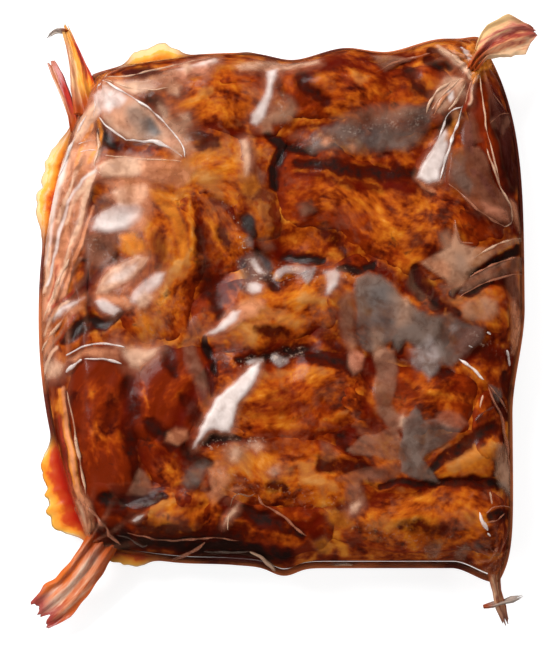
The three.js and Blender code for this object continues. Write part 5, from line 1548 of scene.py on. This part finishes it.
def rim_material():
    """Film stained yellow by fat and orange by sauce, thin enough to let light through."""
    material, tree, output = new_material("stained_film")
    blot = number(tree, "SUBTRACT", mottled(tree, 90, 350, 0.3, 0.5), 0.5)
    reach = number(tree, "ADD", plus(tree, attribute(tree, "out"), blot, 1.2), 0.4)
    flap = ramp(tree, reach, (0.1, (0.42, 0.012, 0.002)), (0.42, (0.46, 0.05, 0.005)),
                (0.62, (0.68, 0.20, 0.012)), (0.95, (0.70, 0.35, 0.05)), (1.0, (0.66, 0.44, 0.20)))
    cloud = mottled(tree, 28, 120, 0.3, 0.4)
    narrow = ramp(tree, cloud, (0.44, (0.09, 0.012, 0.004)), (0.58, (0.38, 0.10, 0.03)))
    links = {"Base Color": mix(tree, attribute(tree, "stained"), narrow, flap)}
    tree.links.new(principled(tree, links, 0.2, Roughness=0.3, Alpha=0.94), output.inputs["Surface"])
    return material


seam_rim = rim_piece(rim_material())
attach(seam_rim, "root")

# The tails.
# Where the bag was gathered and cut at its corners, twisted tails of film stick out, crumpled into
# pleats and streaked with sauce. The one at the top right opens like a fishtail.
TAILS = {  # root, bend, tip; half widths at the stations; pleats, phase, raggedness of the tip
    "tail_top_left": ((-80.5, 86, 27.5), (-84.5, 107, 18), (-91.8, 126.2, 12),
        (6.4, 5.6, 3.5, 2.3, 1.7), 2, 0.5, 1.5),
    "tail_left": ((-86, 80, 20), (-89.8, 95.5, 12), (-97.6, 111.6, 9),
        (2.6, 2.0, 2.2, 2.4, 1.8), 1, 2.0, 1.2),
    "tail_top_right": ((80, 102.5, 38.5), (86, 119, 27), (108.6, 124.5, 11),
        (2.4, 3.2, 8.6, 9.3, 1.8), 3, 1.2, 1.0),
    "tail_bottom_left": ((-72, -89, 21), (-82.5, -110, 12), (-98.8, -121.8, 8),
        (7.2, 6.8, 7.4, 8.6, 6.6), 3, 0.0, 3.0),
    "tail_bottom_right": ((88, -98, 20), (88.4, -111, 12), (94, -125.6, 7),
        (5.0, 2.8, 1.9, 2.3, 1.4), 1, 0.7, 1.5),
    "wisp_bottom_right": ((84.5, -119.5, 9), (92, -118, 9.5), (99.5, -115.5, 10),
        (0.8, 1.4, 1.0, 1.5, 0.8), 1, 0.2, 1.5),
    "wisp_top_left": ((-90.6, 124.2, 12), (-95, 126, 12), (-98.5, 122.5, 11),
        (0.9, 1.3, 1.1, 0.9, 0.6), 1, 0.9, 1.0),
}
TAIL_STATIONS = (0.0, 0.25, 0.55, 0.8, 1.0)


def tail_piece(name, material, steps=(90, 49)):
    """A pleated ribbon along a curve from its root by its bend to its tip, thick where it is gathered."""
    root, bend, tip, halves, pleat_count, phase, torn = TAILS[name]
    root, bend, tip = (np.array(place, float) for place in (root, bend, tip))
    lines = np.linspace(0, 1, steps[0]), np.sin(np.linspace(-1, 1, steps[1]) * math.pi / 2)
    q, w = np.meshgrid(*lines, indexing="ij")
    seed = len(name)
    length = np.linalg.norm(tip - root)
    tear = noise(w * 9, w * 0, 3.2, seed) + 0.4 * noise(w * 9, w * 0, 1.1, seed + 1)
    reach = q + torn / length * q**5 * tear
    t = reach[..., None]
    centre = (1 - t) ** 2 * root + 2 * t * (1 - t) * bend + t**2 * tip
    direction = unit(2 * (1 - t) * (bend - root) + 2 * t * (tip - bend))
    side = unit(np.cross((0.0, 0.0, 1.0), direction))
    up = np.cross(direction, side)
    half = np.interp(q, TAIL_STATIONS, halves) * (1 + 0.07 * noise(q * 20, w * 0 + np.sign(w), 2.2, seed + 5))
    gathered = np.clip(1.3 - q, 0.3, 1)
    wander = 1.1 * noise(q * 10, w * 2, 3, seed + 3)
    fold = 1.2 * gathered * np.cos(pleat_count * math.pi * w + 1.5 * q + phase + wander) * (1 - 0.6 * w**8)
    fold = fold + 0.5 * noise(w * half, reach * length / 5, 1.6, seed + 2)
    thick = (0.35 + 1.2 * gathered**2) * np.sqrt(1 - w**2) * (1 - q**12)
    middle = centre + side * (half * w)[..., None]
    points, quads = shell(middle + up * (fold + thick)[..., None], middle + up * (fold - thick)[..., None])
    lane, reach = w * half / 2.2 + 7 * seed, reach * length / 14
    values = both_sides(lane=lane, reach=reach, across=w / 2 + 0.5, along=q)
    return mesh_piece(name, points, quads, material, values)


TAIL_COLOURS = {  # from its right side to its left, seen from the root, then at the tip
    "tail_top_left": ((0.40, 0.02, 0.01), (0.72, 0.22, 0.015), (0.78, 0.40, 0.05), (0.80, 0.55, 0.30),
        (0.50, 0.22, 0.12), (0.62, 0.34, 0.10)),
    "tail_left": ((0.28, 0.012, 0.006), (0.45, 0.02, 0.01), (0.24, 0.012, 0.006), (0.50, 0.14, 0.03),
        (0.66, 0.42, 0.30), (0.42, 0.14, 0.08)),
    "tail_top_right": ((0.74, 0.50, 0.30), (0.66, 0.26, 0.12), (0.30, 0.03, 0.02), (0.58, 0.22, 0.15),
        (0.74, 0.52, 0.25), (0.36, 0.07, 0.05)),
    "tail_bottom_left": ((0.58, 0.13, 0.015), (0.66, 0.31, 0.19), (0.70, 0.50, 0.38), (0.62, 0.25, 0.13),
        (0.52, 0.10, 0.015), (0.28, 0.03, 0.03)),
    "tail_bottom_right": ((0.30, 0.09, 0.03), (0.60, 0.36, 0.22), (0.22, 0.05, 0.02), (0.56, 0.28, 0.14),
        (0.30, 0.08, 0.03), (0.16, 0.05, 0.03)),
    "wisp_bottom_right": ((0.30, 0.25, 0.22), (0.44, 0.38, 0.34), (0.28, 0.22, 0.20), (0.48, 0.42, 0.38),
        (0.34, 0.28, 0.25), (0.40, 0.36, 0.34)),
    "wisp_top_left": ((0.34, 0.30, 0.28), (0.48, 0.43, 0.40), (0.36, 0.30, 0.27), (0.50, 0.46, 0.42),
        (0.36, 0.31, 0.28), (0.44, 0.40, 0.38)),
}
TAIL_ROOT = (0.36, 0.06, 0.008)


def tail_material(name):
    """Gathered film: its sauce and fat run lengthwise, so its colours lie side by side and wander."""
    material, tree, output = new_material("gathered_film_" + name)
    streak = node(tree, "ShaderNodeCombineXYZ", {"X": attribute(tree, "lane"), "Y": attribute(tree, "reach")})
    place = mottled(tree, 0.8, 3.0, 0.3, 0.4, streak.outputs[0])
    wander = number(tree, "MULTIPLY", number(tree, "SUBTRACT", place, 0.5), 1.5)
    side = number(tree, "ADD", attribute(tree, "across"), wander)
    *lanes, tip = TAIL_COLOURS[name]
    colour = ramp(tree, side, *zip((0.08, 0.3, 0.5, 0.7, 0.92), lanes))
    ends = plus(tree, attribute(tree, "along"), wander, 0.3)
    colour = mix(tree, ramp(tree, ends, (0.08, 1.0), (0.36, 0.0)), colour, TAIL_ROOT)
    colour = mix(tree, ramp(tree, ends, (0.78, 0.0), (0.97, 0.9)), colour, tip)
    colour = mix(tree, 1.0, colour, (0.86, 0.78, 0.72), "MULTIPLY")
    links = {"Base Color": colour, "Normal": bumped(tree, place, 0.4)}
    tree.links.new(principled(tree, links, 0.3, Roughness=0.3, Alpha=0.9), output.inputs["Surface"])
    return material


for tail_name in TAILS:
    tail = tail_piece(tail_name, tail_material(tail_name))
    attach(tail, "root")

# The surroundings: a pale floor, a bright soft light from the upper left, three dimmer broad ones
# from the top, the left and the right, and the camera that looks down on the pack.
PIXEL = PHOTO_SCALE * MM
ELEVATION = 83.0
CAMERA_DISTANCE = 1.3
IMAGE_HEIGHT = 657
aim = Vector(((MOVE_X - 2.1) * MM, (MOVE_Y - 3.2) * MM, 14 * MM))

floor_mesh = bpy.data.meshes.new("floor")
floor_mesh.from_pydata([(-3, -3, 0), (3, -3, 0), (3, 3, 0), (-3, 3, 0)], [], [(0, 1, 2, 3)])
floor = bpy.data.objects.new("floor", floor_mesh)
bpy.context.scene.collection.objects.link(floor)
floor.location.z = -0.0005
floor.visible_glossy = False
pale, pale_tree, pale_output = new_material("pale_floor")
pale_values = {"Base Color": (0.35, 0.35, 0.35, 1), "Emission Color": (1, 1, 1, 1), "Emission Strength": 0.8}
pale_shader = principled(pale_tree, {}, 0.1, Roughness=0.9, **pale_values)
pale_tree.links.new(pale_shader, pale_output.inputs["Surface"])
floor_mesh.materials.append(pale)


def soft_light(name, azimuth, off_zenith, distance, size, radiance, mirrored=False):
    """A rectangular area light that faces the pack, placed by its direction. Its power follows from its
    size and its radiance, so that a larger light isn't dimmer."""
    data = bpy.data.lights.new(name, "AREA")
    data.shape = "RECTANGLE"
    data.size, data.size_y = size
    data.energy = radiance * size[0] * size[1] * math.pi
    lamp = bpy.data.objects.new(name, data)
    lamp.visible_glossy = mirrored
    azimuth, off_zenith = math.radians(azimuth), math.radians(off_zenith)
    flat = math.sin(off_zenith)
    towards = Vector((flat * math.cos(azimuth), flat * math.sin(azimuth), math.cos(off_zenith)))
    lamp.location = aim + towards * distance
    lamp.rotation_euler = towards.to_track_quat("Z", "Y").to_euler()
    bpy.context.scene.collection.objects.link(lamp)


soft_light("key_upper_left", 138, 44, 2.2, (1.4, 0.6), 27, mirrored=True)
soft_light("fill_top", 80, 62, 2.2, (1.5, 0.8), 8)
soft_light("fill_left", 215, 62, 2.2, (1.5, 0.8), 6)
soft_light("fill_right", 350, 66, 2.2, (1.5, 0.8), 6)

world = bpy.data.worlds.new("studio")
world.use_nodes = True
world.node_tree.nodes["Background"].inputs["Color"].default_value = (1, 1, 1, 1)
world.node_tree.nodes["Background"].inputs["Strength"].default_value = 0.08
bpy.context.scene.world = world
world.cycles_visibility.glossy = False
bpy.context.scene.view_settings.view_transform = "Standard"

camera_data = bpy.data.cameras.new("camera")
camera_data.lens = camera_data.sensor_width * CAMERA_DISTANCE / (IMAGE_HEIGHT * PIXEL)
camera = bpy.data.objects.new("camera", camera_data)
tilt = math.radians(ELEVATION)
back = Vector((0, -math.cos(tilt), math.sin(tilt)))
camera.location = aim + back * CAMERA_DISTANCE
camera.rotation_euler = (-back).to_track_quat("-Z", "Y").to_euler()
bpy.context.scene.collection.objects.link(camera)
bpy.context.scene.camera = camera
